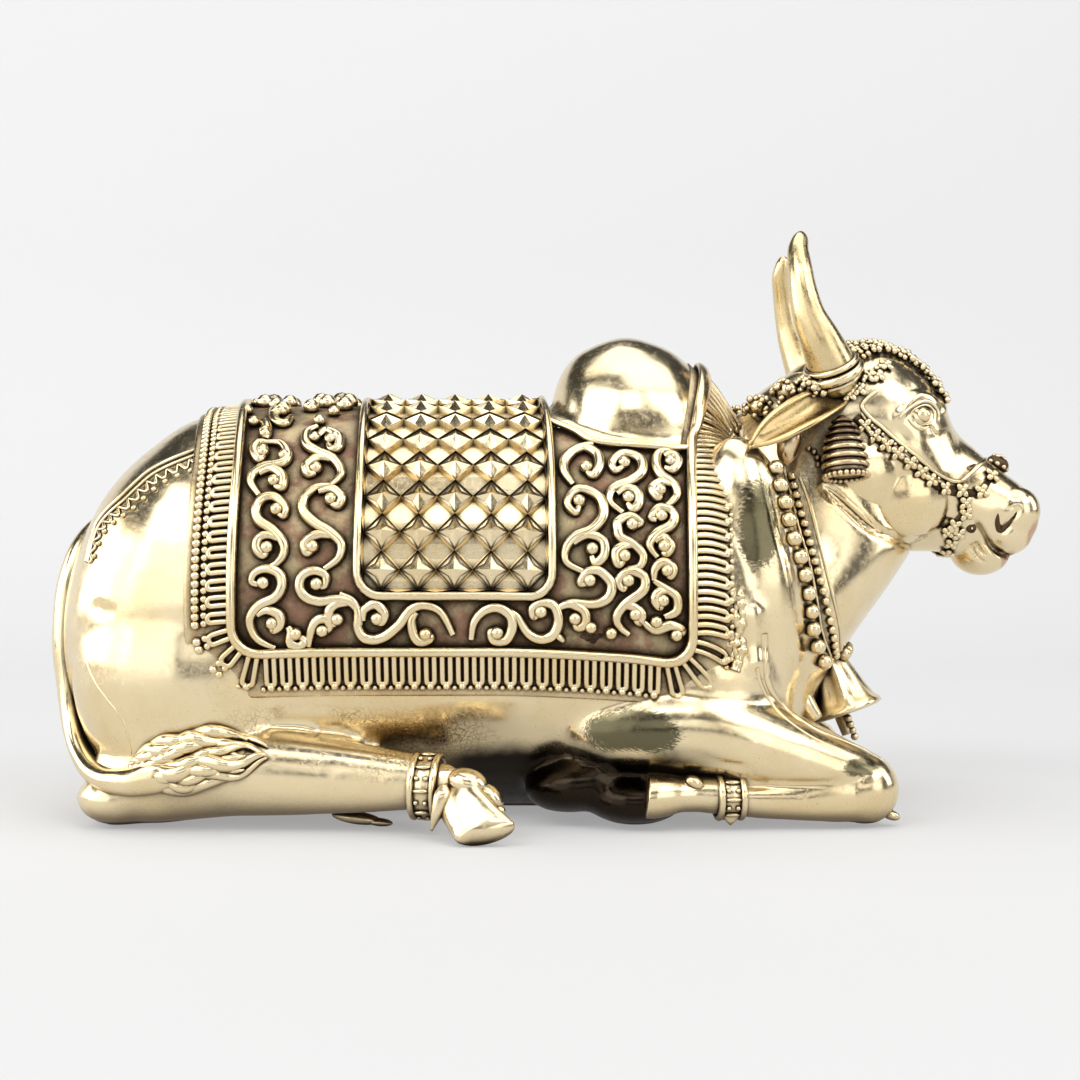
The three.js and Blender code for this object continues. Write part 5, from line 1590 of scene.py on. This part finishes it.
def light(name, place, target, size, power):
    """A soft box that faces its target."""
    lamp = bpy.data.lights.new(name, "AREA")
    lamp.shape = "RECTANGLE"
    lamp.size, lamp.size_y = size
    lamp.energy = power
    holder = bpy.data.objects.new(name, lamp)
    bpy.context.scene.collection.objects.link(holder)
    holder.location = place
    holder.rotation_euler = (Vector(target) - Vector(place)).to_track_quat("-Z", "Y").to_euler()


# Paper floor that sweeps up behind, in metres
HALF_WIDTH, NEAR_END, SWEEP_START, SWEEP, TOP_END = 1.7, -1.3, 0.30, 0.2, 0.37
floor_bm = bmesh.new()
sweep = [(SWEEP_START + SWEEP * sin(a), SWEEP - SWEEP * cos(a)) for a in np.linspace(0, pi / 2, 20)]
profile = [(NEAR_END, 0.0), *sweep, (SWEEP_START + SWEEP, TOP_END)]
verts = [floor_bm.verts.new((-HALF_WIDTH, y, z - 0.0001)) for y, z in profile]
edges = [floor_bm.edges.new(pair) for pair in zip(verts, verts[1:])]
swept = bmesh.ops.extrude_edge_only(floor_bm, edges=edges)["geom"]
bmesh.ops.translate(floor_bm, vec=(2 * HALF_WIDTH, 0, 0),
                    verts=[g for g in swept if isinstance(g, bmesh.types.BMVert)])
floor = piece_of("floor", floor_bm)
floor.data.polygons.foreach_set("use_smooth", [True] * len(floor.data.polygons))
paper = bpy.data.materials.new("paper")
paper.use_nodes = True
for key, value in (("Base Color", (0.385, 0.385, 0.385, 1)), ("Roughness", 0.9),
                   ("Emission Color", (1, 1, 1, 1)),
                   ("Emission Strength", 0.325)):
    paper.node_tree.nodes["Principled BSDF"].inputs[key].default_value = value
floor.data.materials.append(paper)

light("key", (-0.6, -0.55, 0.85), (0, 0, 0.05), (0.7, 0.5), 4.6)
light("key_right", (0.58, -0.55, 0.80), (0, 0, 0.05), (0.6, 0.5), 3.4)
light("top", (0.05, 0.05, 0.9), (0, 0, 0.03), (1.0, 0.7), 4.6)
light("right", (0.95, -0.1, 0.45), (0, 0, 0.05), (0.35, 0.7), 2.6)
light("left", (-0.95, 0.05, 0.30), (0, 0, 0.05), (0.6, 0.5), 3.4)
light("left_front", (-0.98, -0.42, 0.32), (0, 0, 0.05), (0.42, 0.6), 1.7)
light("over_front", (0.0, -0.62, 0.72), (0, 0, 0.05), (0.34, 0.26), 0.9)
light("behind_camera", (0.0, -0.98, 0.30), (0, 0, 0.05), (0.5, 0.34), 0.7)
light("front_left", (-0.62, -0.78, 0.30), (0, 0, 0.05), (0.75, 0.6), 2.3)
light("front_right", (0.60, -0.80, 0.26), (0, 0, 0.05), (0.62, 0.5), 1.8)

world = bpy.data.worlds.new("room")
bpy.context.scene.world = world
world.use_nodes = True
world.node_tree.nodes["Background"].inputs["Color"].default_value = (0.9, 0.95, 1.0, 1)
world.node_tree.nodes["Background"].inputs["Strength"].default_value = 0.05

SENSOR = 36.0
camera = bpy.data.cameras.new("camera")
camera.lens = SENSOR * FOCAL_PX / FRAME_PX
camera.sensor_width = SENSOR
camera.clip_start = 0.01
viewpoint = bpy.data.objects.new("camera", camera)
bpy.context.scene.collection.objects.link(viewpoint)
viewpoint.location = ((EYE_X + SHIFT_X) * MM, EYE_Y * MM, EYE_Z * MM)
viewpoint.rotation_euler = (radians(90), 0, 0)
bpy.context.scene.camera = viewpoint
bpy.context.scene.view_settings.view_transform = "Standard"
